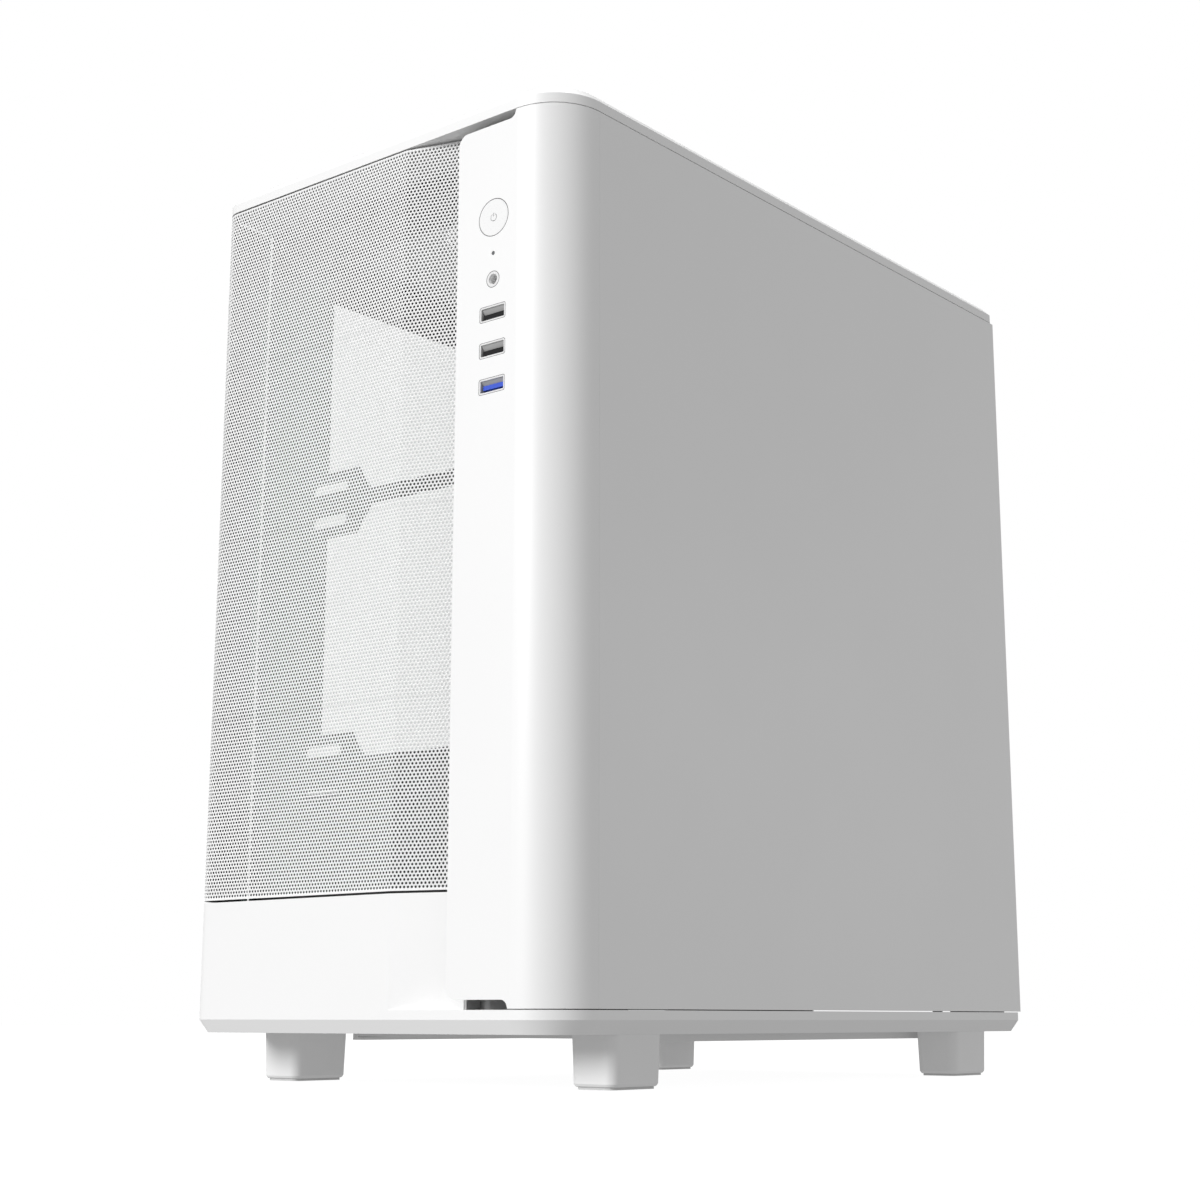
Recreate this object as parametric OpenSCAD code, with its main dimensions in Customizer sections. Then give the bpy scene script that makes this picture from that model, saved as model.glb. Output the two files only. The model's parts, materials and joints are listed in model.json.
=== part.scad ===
// Desktop computer tower: a white steel and glass case on four feet, with its working parts inside.
// X is across the width, Y runs from the front to the rear, and Z is up.
// Inside the modules, Y is counted from the front face and Z from the top of the base plate.

/* [Case] */
// Overall width across the side panels
case_w = 210; // [206:1:260]
// Overall depth from the front face to the rear edge
case_d = 362.5; // [362:0.5:440]
// Height of the bay between the base and the top plate
bay_h = 367.2; // [366:0.2:450]
// Gap left at each seam between two covers
seam = 0.4; // [0.2:0.1:0.6]
// Thickness of the chassis sheet steel
sheet = 1; // [0.8:0.1:1.2]

/* [Base and top] */
// Height of the upright edge of the base
base_edge_h = 3.8; // [3:0.1:6]
// Height of the chamfer under the base
base_chamfer_h = 5.5; // [3:0.1:8]
// Inset of the chamfer under the base
base_chamfer = 3.8; // [2:0.1:4]
// Height of the upright edge of the top plate
top_edge_h = 4.2; // [3:0.1:6]
// Height and inset of the chamfer on the top plate
top_chamfer = 4; // [2:0.1:4.2]
// Radius of the broad front corner on the right
right_corner_r = 24.2; // [16:0.1:30]
// Radius of the front corner on the left
left_corner_r = 10; // [7:0.5:14]
// Radius of the two rear corners
rear_corner_r = 4.5; // [4.5:0.5:6]
// Height of the gap under the chassis floor
floor_gap = 2; // [1.5:0.1:3]

/* [Feet] */
// Height of a foot below the base, without its pad
foot_h = 20; // [12:0.5:30]
// Width of a foot at its top, across the case
foot_w = 23; // [18:0.5:23]
// Length of a foot at its top, along the case
foot_l = 33; // [24:0.5:42]
// How much narrower a foot is at its bottom
foot_taper = 1.4; // [0.5:0.1:3]
// Radius of a foot's upright corners
foot_r = 5; // [4:0.5:8]
// Thickness of the rubber pad under a foot
pad_t = 1; // [0.5:0.5:3]
// Distance of each foot's centre from the middle plane
foot_x = 89.5; // [84:0.5:89.5]
// Distance of the front feet's centres from the front face
foot_front_y = 54; // [30:1:60]
// Distance of the rear feet's centres from the rear edge
foot_rear_y = 44.5; // [30:0.5:60]

/* [Front] */
// Height of the solid wall under the mesh
sill_h = 46.4; // [40:0.2:60]
// Distance of the bend in the front from the right edge
bend_from_right = 88.6; // [80:0.1:95]
// Angle of the front beyond the bend
bend_angle = 17; // [10:0.5:20]
// Distance of the free edge of the corner cover from the right edge
cover_reach = 57.2; // [54:0.1:62]
// Thickness of the corner cover
cover_t = 2.2; // [1.6:0.1:2.6]
// Height of the finger gap above and below the free edge
notch_h = 3.4; // [2:0.1:5]
// Distance of the end of the finger gap from the right edge
notch_from_right = 25.1; // [24.5:0.1:32]
// Radius of the free corners of the corner cover
flap_r = 5; // [2:0.5:8]
// Thickness of the perforated sheet
mesh_t = 0.9; // [0.6:0.1:1.2]
// How far the front wraps round the left side
wrap_y = 26; // [22:0.5:28]
// Distance of the chassis front wall from the front face
wall_y = 30; // [28:0.5:36]

/* [Front sockets] */
// Distance of the column of controls from the right edge
io_from_right = 37; // [34:0.1:42]
// Height of the power button's centre
button_z = 322; // [315:0.5:324]
// Diameter of the power button
button_d = 15.8; // [12:0.1:17]
// Gap round the power button
button_gap = 0.3; // [0.2:0.05:0.5]
// Travel of the power button
button_travel = 1.5; // [1:0.1:2]
// Height of the indicator lamp
led_z = 306.3; // [305:0.1:308]
// Height of the audio socket
jack_z = 294.9; // [294:0.1:296]
// Diameter of the ring round the audio socket
jack_d = 7; // [6.5:0.1:8]
// Diameter of the audio socket's bore
jack_bore_d = 3.6; // [3.55:0.01:3.7]
// Height of the uppermost data socket
usb_z = 280.35; // [279:0.05:282]
// Spacing of the data sockets
usb_pitch = 15.5; // [14:0.1:18]
// Width of a data socket over its rim
usb_w = 14.1; // [13.6:0.1:15]
// Height of a data socket over its rim
usb_h = 6.6; // [6.2:0.1:7.5]
// Wall of a data socket's shell
usb_wall = 0.8; // [0.5:0.05:0.9]

/* [Side panels] */
// Thickness of the steel side panel
panel_t = 1.2; // [1:0.1:1.6]
// Thickness of the glass pane
glass_t = 4; // [3:0.5:5]
// Width of the opaque border round the window
border_w = 24.6; // [16:0.2:30]
// Recess of the rear wall inside the rear edge
rear_recess = 8; // [7:0.5:12]
// Space for cables behind the motherboard tray
cable_space = 34; // [28:1:40]

/* [Fans] */
// Radius of the air passage through a fan
fan_bore_r = 58; // [57:0.5:58.5]
// Gap between a blade's tip and the air passage
blade_gap = 1; // [0.6:0.1:2]
// Number of blades on a rotor
blade_count = 9; // [7:1:11]
// Radius of a fan's shaft
shaft_r = 1.5; // [1.2:0.1:2]
// Radial clearance of a running shaft
run_gap = 0.04; // [0.02:0.01:0.08]
// Offset of the front fans' centre from the middle plane
front_fan_x = -5.7; // [-8:0.1:-4]
// Height of the lower front fan's centre
front_fan_z = 165.2; // [164:0.1:168]
// Length of the slots that hold a front fan
slot_l = 22.8; // [20:0.2:24]
// Width of the slots that hold a front fan
slot_w = 4.4; // [4.2:0.1:5]

/* [Boards and power] */
// Height of the standoffs under the motherboard
standoff_h = 6.5; // [6:0.5:8]
// Height of the motherboard's lower edge
board_z = 115; // [113:1:118]
// Length of the power supply
psu_l = 140; // [140:5:150]

/* [Hidden] */
$fn = 64;
// Overlap used only where a cut has to pass a face
cut = 1;
// Height of the thin levels that a hull joins
thin = 0.01;

// Sizes that computer parts have by standard
fan_w = 120;
fan_t = 25;
fan_holes = 105;
big_fan_holes = 124.5;
board_w = 244;
board_t = 1.6;
psu_w = 150;
psu_h = 86;
slot_pitch = 20.32;
slot_count = 4;

// Derived places
butt_gap = 0.05;
half_w = case_w / 2;
base_h = base_edge_h + base_chamfer_h;
top_h = top_edge_h + top_chamfer;
ground = foot_h + pad_t + base_h;
rear_y = case_d - rear_recess;
floor_top = floor_gap + sheet;
roof_low = bay_h - sheet;
bend_x = half_w - bend_from_right;
flap_x = half_w - cover_reach;
io_x = half_w - io_from_right;
skin_end_x = flap_x + 0.6;
skin_end_y = (skin_end_x - bend_x) * tan(bend_angle);
carrier_x = skin_end_x + 0.1;
carrier_y = wall_y - 12;
chassis_left = -half_w + glass_t + 2;
chassis_right = half_w - panel_t - 4;
tray_x = half_w - cable_space;
glass_y = wrap_y + seam;
upper_fan_z = front_fan_z + fan_w + 0.5;

// Rear fan, boards and sockets
board_x = tray_x - standoff_h - board_t;
board_y1 = rear_y - sheet - 0.5;
board_y0 = board_y1 - board_w;
board_z1 = board_z + board_w;
rear_fan_x = chassis_left + 1 + fan_w / 2;
rear_fan_z = 296;
slot_z0 = board_z + 12;
io_window = [44.45, 158.75];
io_window_x = board_x - io_window[0] + 2;
io_window_z = board_z1 - io_window[1] - 0.5;
cpu_y = board_y1 - 85;
cpu_z = board_z + 175;
cooler_x = board_x - 12;
header_z = 150;
power_header_z = 240;
pass_y = board_y0 - 11;
tray_y = board_y0 - 29;
header_h = 8;
power_header_h = 13;
cooler_fan_y = cpu_y - 55;

// Ball studs of the glass panel
stud_r = 2;
stud_l = 4;
stud_x = -half_w + glass_t + 1.2;
stud_z = bay_h - 14;
stud_rows = [wall_y + 8.4, rear_y - 40];

// Fasteners
psu_screw_r = 1.7;
thumb_rows = [60, bay_h - 60];
thumb_x = chassis_right - 4;
thumb_shank_r = 1.7;
foot_screw_r = 1.9;
foot_bore_r = 4.5;
foot_bore_h = 8;
// Rounding of a foot's lower edge
foot_edge = 1.2;
foot_rows = [foot_front_y, case_d - foot_rear_y];

// Power supply and drives
psu_x = tray_x - psu_w - 3;
psu_y = rear_y - sheet - psu_l;
psu_z = floor_top + 3;
shroud_z = psu_z + psu_h + 2;
psu_screw_places = [
    for (x = [psu_x + 3, psu_x + psu_w - 3], z = [psu_z + 5, psu_z + psu_h - 6]) [x, z]
];
inlet_x = psu_x + 26;
inlet_z = psu_z + 62;
rocker_x = inlet_x + 25;
rocker_r = 8.6;
rocker_w = 13;
rocker_y = psu_y + psu_l - 6.5;
inlet_low = [inlet_x - 14, inlet_z - 10];
inlet_high = [rocker_x + 9.5, inlet_z + 10];
cage_y = wall_y + sheet + 12;
drive_x = -30;
drive_size = [101.6, 147, 26.1];
ssd_size = [7, 100, 69.85];

// Sockets and switch behind the corner cover
io_board_y = carrier_y - board_t;
io_header_z = usb_z - 2 * usb_pitch - 28;
usb_depth = io_board_y;
socket_gap = 0.12;
led_r = 0.85;
button_cap_t = 3;
stem_r = 2.5;
switch_body = [11, 3.5, 11];
switch_y = io_board_y - switch_body[1];
spring_r = 4.6;
spring_wire_r = 0.35;
spring_turns = 4;

// The base and filters underneath
vent_w = 122;
vent_y = [76, case_d - 36];
filter_w = 140;
filter_t = 1.8;
filter_y = [68, case_d - 14];
rail_depth = 3.4;
rail_lip = 1.2;
sill_t = 2;
floor_slots = [[-15, 59], [64.5, 69.4]];
hook_rows = [sill_h + 34, (sill_h + bay_h) / 2, bay_h - 35];
top_vent = [130, 250];
top_vent_y = 60;
filter_lip = 3;

module place() {
    translate([0, -case_d / 2, ground]) children();
}

// A slab with the case's outline, whose edge is inset by low at its bottom and by high at its top
module tapered_slab(h, low, high) {
    corners = [
        [-half_w + left_corner_r, left_corner_r, left_corner_r],
        [half_w - right_corner_r, right_corner_r, right_corner_r],
        [-half_w + rear_corner_r, case_d - rear_corner_r, rear_corner_r],
        [half_w - rear_corner_r, case_d - rear_corner_r, rear_corner_r]
    ];
    for (c = corners)
        translate([c[0], c[1], 0]) cylinder(h = h, r1 = c[2] - low, r2 = c[2] - high, $fn = 96);
    side_profile = [[0, 0], [half_w - low, 0], [half_w - high, h], [0, h]];
    y_prism(right_corner_r, case_d - rear_corner_r) polygon(side_profile);
    mirror([1, 0, 0]) y_prism(left_corner_r, case_d - rear_corner_r) polygon(side_profile);
    x_prism(-half_w + left_corner_r, half_w - right_corner_r)
        polygon([[low, 0], [case_d / 2, 0], [case_d / 2, h], [high, h]]);
    x_prism(-half_w + rear_corner_r, half_w - rear_corner_r)
        polygon([[case_d / 2, 0], [case_d - low, 0], [case_d - high, h], [case_d / 2, h]]);
}

// Extrudes an X and Z outline from y0 to y1
module y_prism(y0, y1) {
    translate([0, y1, 0]) rotate([90, 0, 0]) linear_extrude(y1 - y0) children();
}

// Extrudes a Y and Z outline from x0 to x1
module x_prism(x0, x1) {
    translate([x0, 0, 0]) rotate([90, 0, 90]) linear_extrude(x1 - x0) children();
}

// A box from its lowest corner to its highest corner
module block(low, high) {
    translate(low) cube(high - low);
}

// A rod along Y from y0 to y1
module y_rod(x, z, r, y0, y1) {
    translate([x, y1, z]) rotate([90, 0, 0]) cylinder(r = r, h = y1 - y0);
}

// A rod along X from x0 to x1
module x_rod(y, z, r, x0, x1) {
    translate([x0, y, z]) rotate([0, 90, 0]) cylinder(r = r, h = x1 - x0);
}

// A flat rounded rectangle, centred
module rounded(w, h, r) {
    square([w - 2 * r, h], center = true);
    square([w, h - 2 * r], center = true);
    for (sx = [-1, 1], sy = [-1, 1])
        translate([sx * (w / 2 - r), sy * (h / 2 - r)]) circle(r = r);
}

// A flat slot with round ends along X, centred
module slot_shape(l, w) {
    square([l - w, w], center = true);
    for (s = [-1, 1]) translate([s * (l - w) / 2, 0]) circle(d = w);
}

// The plan of the front skin: left return, rounded corner, flat front and angled end
module front_skin(t) {
    slant = [sin(bend_angle), cos(bend_angle)];
    mitre = t * tan(bend_angle / 2);
    corner_x = -half_w + left_corner_r;
    translate([-half_w, left_corner_r]) square([t, wrap_y - left_corner_r]);
    translate([corner_x, left_corner_r]) intersection() {
        difference() {
            circle(r = left_corner_r, $fn = 96);
            circle(r = left_corner_r - t, $fn = 96);
        }
        translate([-left_corner_r, -left_corner_r]) square(left_corner_r);
    }
    polygon([
        [corner_x, 0], [bend_x, 0], [skin_end_x, skin_end_y],
        [skin_end_x - t * slant[0], skin_end_y + t * slant[1]], [bend_x - mitre, t], [corner_x, t]
    ]);
}

// Sweeps a round tube along a list of points
function unit(v) = v / norm(v);
function tangent(p, i) = unit(p[min(i + 1, len(p) - 1)] - p[max(i - 1, 0)]);
function ring(c, t, r, n, side) =
    let (u = unit(cross(t, side)), v = cross(t, u))
    [for (k = [0 : n - 1]) c + r * (cos(360 * k / n) * u + sin(360 * k / n) * v)];

module tube(path, r, n, side) {
    rows = len(path);
    points = [for (i = [0 : rows - 1]) each ring(path[i], tangent(path, i), r, n, side)];
    walls = [
        for (i = [0 : rows - 2], k = [0 : n - 1])
            let (a = i * n + k, b = i * n + (k + 1) % n)
            each [[a, b, b + n], [a, b + n, a + n]]
    ];
    start = [[for (k = [0 : n - 1]) n - 1 - k]];
    end = [[for (k = [0 : n - 1]) (rows - 1) * n + k]];
    polyhedron(points = points, faces = concat(walls, start, end));
}

// Rounds the corners of a route by cutting each with a smooth curve
function bezier(a, b, c, t) = (1 - t) * (1 - t) * a + 2 * t * (1 - t) * b + t * t * c;
function toward(a, b, d) = a + unit(b - a) * d;
function smooth_route(p, bend, steps) = concat(
    [p[0]],
    [
        for (i = [1 : len(p) - 2], k = [0 : steps])
            bezier(toward(p[i], p[i - 1], bend), p[i], toward(p[i], p[i + 1], bend), k / steps)
    ],
    [p[len(p) - 1]]
);

// Base plate with the solid lower front wall
module base_shell() {
    color("white") place() {
        difference() {
            union() {
                translate([0, 0, -base_edge_h]) tapered_slab(base_edge_h, 0, 0);
                translate([0, 0, -base_h]) tapered_slab(base_chamfer_h, base_chamfer, 0);
            }
            block([-vent_w / 2, vent_y[0], -base_h - cut], [vent_w / 2, vent_y[1], cut]);
            for (x = [-foot_x, foot_x], y = foot_rows)
                translate([x, y, -base_h - cut]) cylinder(r = foot_screw_r + run_gap, h = 7 + cut);
        }
        linear_extrude(sill_h - seam) front_skin(sill_t);
        for (x = [chassis_left + 1, chassis_right - 15], y = [wall_y + 6, rear_y - 24])
            block([x, y, 0], [x + 14, y + 14, floor_gap]);
    }
}

// Top plate with its chamfered rim and the seat of the upper filter
module top_plate() {
    seat = [top_vent[0] + 2 * filter_lip, top_vent[1] + 2 * filter_lip];
    color("white") place() difference() {
        translate([0, 0, bay_h]) union() {
            tapered_slab(top_edge_h, 0, 0);
            translate([0, 0, top_edge_h]) tapered_slab(top_chamfer, 0, top_chamfer);
        }
        block([-top_vent[0] / 2, top_vent_y, bay_h - cut],
            [top_vent[0] / 2, top_vent_y + top_vent[1], bay_h + top_h + cut]);
        block([-seat[0] / 2, top_vent_y - filter_lip, bay_h + top_h - 1.5],
            [seat[0] / 2, top_vent_y - filter_lip + seat[1], bay_h + top_h + cut]);
    }
}

// Flat dust filter: a rim, ribs and a fine sheet, drawn from the corner of its rim
module filter_panel(w, l, t, ribs) {
    rim = 6;
    difference() {
        cube([w, l, t]);
        translate([rim, rim, -cut]) cube([w - 2 * rim, l - 2 * rim, t + 2 * cut]);
    }
    translate([rim - 0.5, rim - 0.5, t / 2 - 0.25]) cube([w - 2 * rim + 1, l - 2 * rim + 1, 0.5]);
    for (k = [1 : ribs])
        translate([rim - 0.5, rim + k * (l - 2 * rim) / (ribs + 1) - 1, 0])
            cube([w - 2 * rim + 1, 2, t]);
}

// Magnetic dust filter in the top plate
module top_filter() {
    gap = 0.3;
    w = top_vent[0] + 2 * filter_lip - 2 * gap;
    l = top_vent[1] + 2 * filter_lip - 2 * gap;
    color("whitesmoke") place()
        translate([-w / 2, top_vent_y - filter_lip + gap, bay_h + top_h - 1.5])
            filter_panel(w, l, 1.5, 3);
}

// One fan opening in the front wall, with its cut corners, centred on the fan
module fan_opening() {
    ow = 54.7;
    oh = 56.7;
    tab = [34.8, 44.8];
    tab_foot = 26.3;
    quarter = [[0, 0], [0, oh], [-tab_foot, oh], [-tab[0], tab[1]], [-ow, tab[1]], [-ow, 0]];
    for (mx = [0, 1], my = [0, 1])
        mirror([mx, 0]) mirror([0, my]) polygon(quarter);
}

// Front wall of the chassis: two stacked fan openings and their mounting slots
module chassis_front_wall() {
    slot_rows = [
        front_fan_z - fan_holes / 2, front_fan_z + fan_holes / 2,
        upper_fan_z - fan_holes / 2, upper_fan_z + fan_holes / 2,
        front_fan_z + fan_holes / 2 - big_fan_holes, upper_fan_z - fan_holes / 2 + big_fan_holes
    ];
    color("white") place() y_prism(wall_y, wall_y + sheet) difference() {
        translate([chassis_left, 0]) square([chassis_right - chassis_left, bay_h]);
        translate([front_fan_x, front_fan_z]) fan_opening();
        translate([front_fan_x, upper_fan_z]) fan_opening();
        for (z = slot_rows, s = [-1, 1])
            translate([front_fan_x + s * fan_holes / 2, z]) slot_shape(slot_l, slot_w);
        translate([carrier_x + 16, 180]) square([20, 60]);
    }
}

// Chassis floor, held off the base by its pads, with the air intake of the power supply
module chassis_floor() {
    intake = [psu_x + psu_w / 2, psu_y + psu_l / 2];
    color("white") place() difference() {
        block([chassis_left, wall_y + sheet, floor_gap], [chassis_right, rear_y - sheet, floor_top]);
        translate([intake[0], intake[1], 0]) cylinder(r = fan_bore_r - 2, h = 3 * floor_top);
        for (k = [0 : 5])
            translate([-50 + 20 * k, cage_y + 70, floor_gap - cut])
                linear_extrude(sheet + 2 * cut) rotate(90) slot_shape(90, 6);
    }
}

// Chassis roof with two fan openings and the sockets of the glass panel's studs
module chassis_roof() {
    tab_x = stud_x + stud_l - 2;
    color("white") place() for (y = stud_rows) difference() {
        block([tab_x, y - 6, stud_z - 6], [tab_x + sheet, y + 6, roof_low]);
        x_rod(y, stud_z, stud_r + 0.4, tab_x - cut, tab_x + sheet + cut);
    }
    color("white") place() difference() {
        block([chassis_left, wall_y + sheet, roof_low], [chassis_right, rear_y - sheet, bay_h]);
        for (k = [0, 1])
            translate([0, top_vent_y + 5 + fan_w / 2 + k * fan_w, roof_low - cut]) {
                cylinder(r = fan_bore_r - 1, h = sheet + 2 * cut);
                for (sx = [-1, 1], sy = [-1, 1])
                    translate([sx * fan_holes / 2, sy * fan_holes / 2, 0])
                        cylinder(r = slot_w / 2, h = sheet + 2 * cut);
            }
    }
}

// Rear wall with openings for sockets, fan, expansion slots and power supply
module chassis_rear_wall() {
    color("white") place() y_prism(rear_y - sheet, rear_y) difference() {
        translate([chassis_left, 0]) square([chassis_right - chassis_left, bay_h]);
        translate([io_window_x, io_window_z]) square(io_window);
        translate([rear_fan_x, rear_fan_z]) circle(r = fan_bore_r - 1);
        for (sx = [-1, 1], sy = [-1, 1])
            translate([rear_fan_x + sx * fan_holes / 2, rear_fan_z + sy * fan_holes / 2])
                circle(r = slot_w / 2);
        for (k = [0 : slot_count - 1])
            translate([board_x - 110, slot_z0 + k * slot_pitch - 6.5]) square([104, 13]);
        translate([psu_x + 6, psu_z + 5]) square([psu_w - 12, psu_h - 10]);
        for (p = psu_screw_places) translate(p) circle(r = psu_screw_r + run_gap);
        for (z = thumb_rows) translate([thumb_x, z]) circle(r = thumb_shank_r + 0.3);
        for (s = floor_slots) translate([s[0], -cut]) square([s[1] - s[0], floor_gap + cut]);
    }
}

// Upright tray that the motherboard is fixed to, with cable openings
module motherboard_tray() {
    color("white") place() x_prism(tray_x, tray_x + sheet) difference() {
        translate([tray_y, floor_top]) square([rear_y - sheet - tray_y, roof_low - floor_top]);
        translate([cpu_y - 50, cpu_z - 45]) square([100, 90]);
        translate([pass_y, power_header_z + 5]) rotate(90) slot_shape(90, 20);
        translate([pass_y, header_z]) rotate(90) slot_shape(50, 20);
        translate([psu_y - 48, psu_z + 44]) square([36, 34]);
    }
}

// Cover over the power supply and the drives
module psu_shroud() {
    inside_y = wall_y + sheet;
    color("white") place() difference() {
        union() {
            block([chassis_left, inside_y, shroud_z], [tray_x, rear_y - sheet, shroud_z + sheet]);
            block([chassis_left, inside_y, floor_top], [chassis_left + sheet, rear_y - sheet, shroud_z]);
        }
        translate([tray_x - 22, board_y0 + 60, shroud_z - cut])
            linear_extrude(sheet + 2 * cut) slot_shape(34, 14);
    }
}

// Carrier behind the corner cover, which holds the front sockets
module io_carrier() {
    color("white") place() difference() {
        union() {
            block([carrier_x, skin_end_y + 0.2, 0], [carrier_x + 1.2, wall_y, bay_h]);
            block([carrier_x + 1.2, carrier_y, 0], [half_w - 12, carrier_y + 1.2, bay_h]);
        }
        translate([io_x - 6, carrier_y - cut, io_header_z - 11]) cube([12, 1.2 + 2 * cut, 22]);
    }
}

// Rounded corner cover with the free edge, the button's opening and the socket cut-outs
module corner_cover() {
    arc_x = half_w - right_corner_r;
    low = seam;
    high = bay_h - seam;
    color("white") place() {
        y_prism(0, cover_t) difference() {
            translate([flap_x, low]) square([arc_x - flap_x, high - low]);
            for (m = [0, 1]) translate([0, bay_h / 2]) mirror([0, m]) translate([0, -bay_h / 2])
                cover_notch(low);
            translate([io_x, button_z]) circle(r = button_d / 2 + button_gap);
            translate([io_x, led_z]) circle(r = led_r + 0.05);
            translate([io_x, jack_z]) circle(r = jack_d / 2 + socket_gap);
            for (k = [0 : 2]) translate([io_x, usb_z - k * usb_pitch])
                rounded(usb_w + 2 * socket_gap, usb_h + 2 * socket_gap, 1);
        }
        translate([arc_x, right_corner_r, low]) linear_extrude(high - low) intersection() {
            difference() {
                circle(r = right_corner_r, $fn = 128);
                circle(r = right_corner_r - cover_t, $fn = 128);
            }
            translate([0, -right_corner_r]) square(right_corner_r);
        }
    }
}

// The finger gap at one end of the cover, with the round corner of its free edge
module cover_notch(low) {
    end_x = half_w - notch_from_right;
    level = low + notch_h;
    translate([flap_x - cut, low - cut]) square([end_x - notch_h - flap_x + cut, notch_h + cut]);
    translate([end_x - notch_h, low]) circle(r = notch_h);
    translate([flap_x, level]) difference() {
        translate([-cut, -cut]) square(flap_r + cut);
        translate([flap_r, flap_r]) circle(r = flap_r);
        translate([flap_r, -2 * cut]) square([2 * cut, flap_r]);
    }
}

// Perforated front sheet, drawn without its fine holes
module front_mesh() {
    color("gainsboro") place() translate([0, 0, sill_h + seam])
        linear_extrude(bay_h - sill_h - 2 * seam) front_skin(mesh_t);
}

// Hooks that hold the front sheet on the left
module mesh_hooks() {
    color("lightgrey") place()
        for (z = hook_rows)
            block([-half_w + mesh_t, 15, z], [-half_w + mesh_t + 4, wrap_y - 2, z + 12]);
}

// Steel side panel with its front tongue and rear tab
module side_panel_right() {
    low = seam;
    high = bay_h - seam;
    inner = half_w - panel_t;
    tongue_x = half_w - cover_t - 0.9;
    start = right_corner_r + butt_gap;
    color("white") place() {
        block([inner, start, low], [half_w, case_d - 0.5, high]);
        block([tongue_x - 1, start + 2, 8], [inner, start + 4, high - 8]);
        block([tongue_x - 1, start - 5, 8], [tongue_x, start + 4, high - 8]);
        difference() {
            block([chassis_right - 8, rear_y + 0.1, 12], [inner, rear_y + 1.3, high - 12]);
            for (z = thumb_rows) y_rod(thumb_x, z, thumb_shank_r + 0.05, rear_y - 1, rear_y + 3);
        }
    }
}

// Captive thumbscrews of the side panel
module panel_thumbscrews() {
    face = rear_y + 1.3;
    color("silver") place()
        for (z = thumb_rows) {
            y_rod(thumb_x, z, thumb_shank_r, rear_y - 6, face + 1);
            difference() {
                y_rod(thumb_x, z, 3.6, face, face + 5.4);
                block([thumb_x - 2.6, face + 4.2, z - 0.5], [thumb_x + 2.6, face + 6, z + 0.5]);
            }
        }
}

// Clear glass side pane
module glass_pane() {
    color("lightcyan", 0.3) place()
        block([-half_w, glass_y, seam], [-half_w + glass_t, case_d - 0.5, bay_h - seam]);
}

// Bonded steel border behind the glass
module glass_frame() {
    x = -half_w + glass_t;
    color("white") place() x_prism(x, x + 1.2) difference() {
        translate([glass_y + 1, seam + 1]) square([case_d - glass_y - 2.5, bay_h - 2 * seam - 2]);
        translate([glass_y + border_w, border_w])
            square([case_d - glass_y - 2 * border_w - 8, bay_h - 2 * border_w]);
    }
}

// Ball studs that hold the top of the glass panel in the chassis
module glass_studs() {
    color("silver") place() for (y = stud_rows) x_rod(y, stud_z, stud_r, stud_x, stud_x + stud_l);
}

// One thin level of a foot, smaller than its top by the given amount
module foot_layer(less) {
    linear_extrude(thin) rounded(foot_w - less, foot_l - less, foot_r - less / 2, $fn = 48);
}

// One tapered foot with a recess for its screw
module foot(x, y) {
    color("white") place() translate([x, y, -base_h - foot_h]) difference() {
        hull() {
            translate([0, 0, foot_h - thin]) foot_layer(0);
            translate([0, 0, foot_edge]) foot_layer(foot_taper);
            translate([0, 0, foot_edge / 4]) foot_layer(foot_taper + foot_edge);
            foot_layer(foot_taper + 2 * foot_edge);
        }
        translate([0, 0, -cut]) cylinder(r = foot_bore_r, h = foot_bore_h + cut);
        translate([0, 0, -cut]) cylinder(r = foot_screw_r + 0.2, h = foot_h + 2 * cut);
    }
}

module foot_front_left() foot(-foot_x, foot_rows[0]);
module foot_front_right() foot(foot_x, foot_rows[0]);
module foot_rear_left() foot(-foot_x, foot_rows[1]);
module foot_rear_right() foot(foot_x, foot_rows[1]);

// Rubber pads under the feet
module foot_pads() {
    less = foot_taper + 2 * foot_edge + 1;
    color("gainsboro") place()
        for (x = [-foot_x, foot_x], y = foot_rows)
            translate([x, y, -base_h - foot_h - pad_t])
                linear_extrude(pad_t) rounded(foot_w - less, foot_l - less, foot_r - less / 2);
}

// Screws that hold the feet to the base
module foot_screws() {
    color("silver") place()
        for (x = [-foot_x, foot_x], y = foot_rows)
            translate([x, y, -base_h - foot_h + foot_bore_h]) {
                translate([0, 0, -2.4]) cylinder(r = foot_bore_r - 0.9, h = 2.4);
                cylinder(r = foot_screw_r, h = foot_h - foot_bore_h + 6);
            }
}

// Dust filter that slides in rails under the base
module bottom_filter() {
    color("whitesmoke") place()
        translate([-filter_w / 2, filter_y[0], -base_h - 0.2 - filter_t])
            filter_panel(filter_w, filter_y[1] - filter_y[0], filter_t, 4);
}

// Rails that carry the bottom filter
module filter_rails() {
    outer = filter_w / 2 + 3.8;
    lip = filter_w / 2 - 3;
    side = filter_w / 2 + 0.3;
    low = -base_h - rail_depth;
    color("white") place()
        for (m = [0, 1]) mirror([m, 0, 0]) y_prism(filter_y[0], filter_y[1])
            polygon([
                [lip, low], [outer, low], [outer, -base_h], [side, -base_h],
                [side, low + rail_lip], [lip, low + rail_lip]
            ]);
}

// Power button: a round cap with a stem
module power_button() {
    color("white") place() {
        difference() {
            y_rod(io_x, button_z, button_d / 2, 0, button_cap_t);
            power_mark();
        }
        y_rod(io_x, button_z, stem_r, button_cap_t, switch_y - button_travel - 0.1);
    }
}

// The standby mark, sunk in the cap: a broken ring and a bar
module power_mark() {
    depth = 0.15;
    translate([io_x, depth, button_z]) rotate([90, 0, 0]) linear_extrude(depth + cut) {
        difference() {
            circle(r = 1.7);
            circle(r = 1.45);
            translate([-0.6, 0]) square([1.2, 3]);
        }
        translate([-0.14, 0.2]) square([0.28, 1.8]);
    }
}

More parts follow.
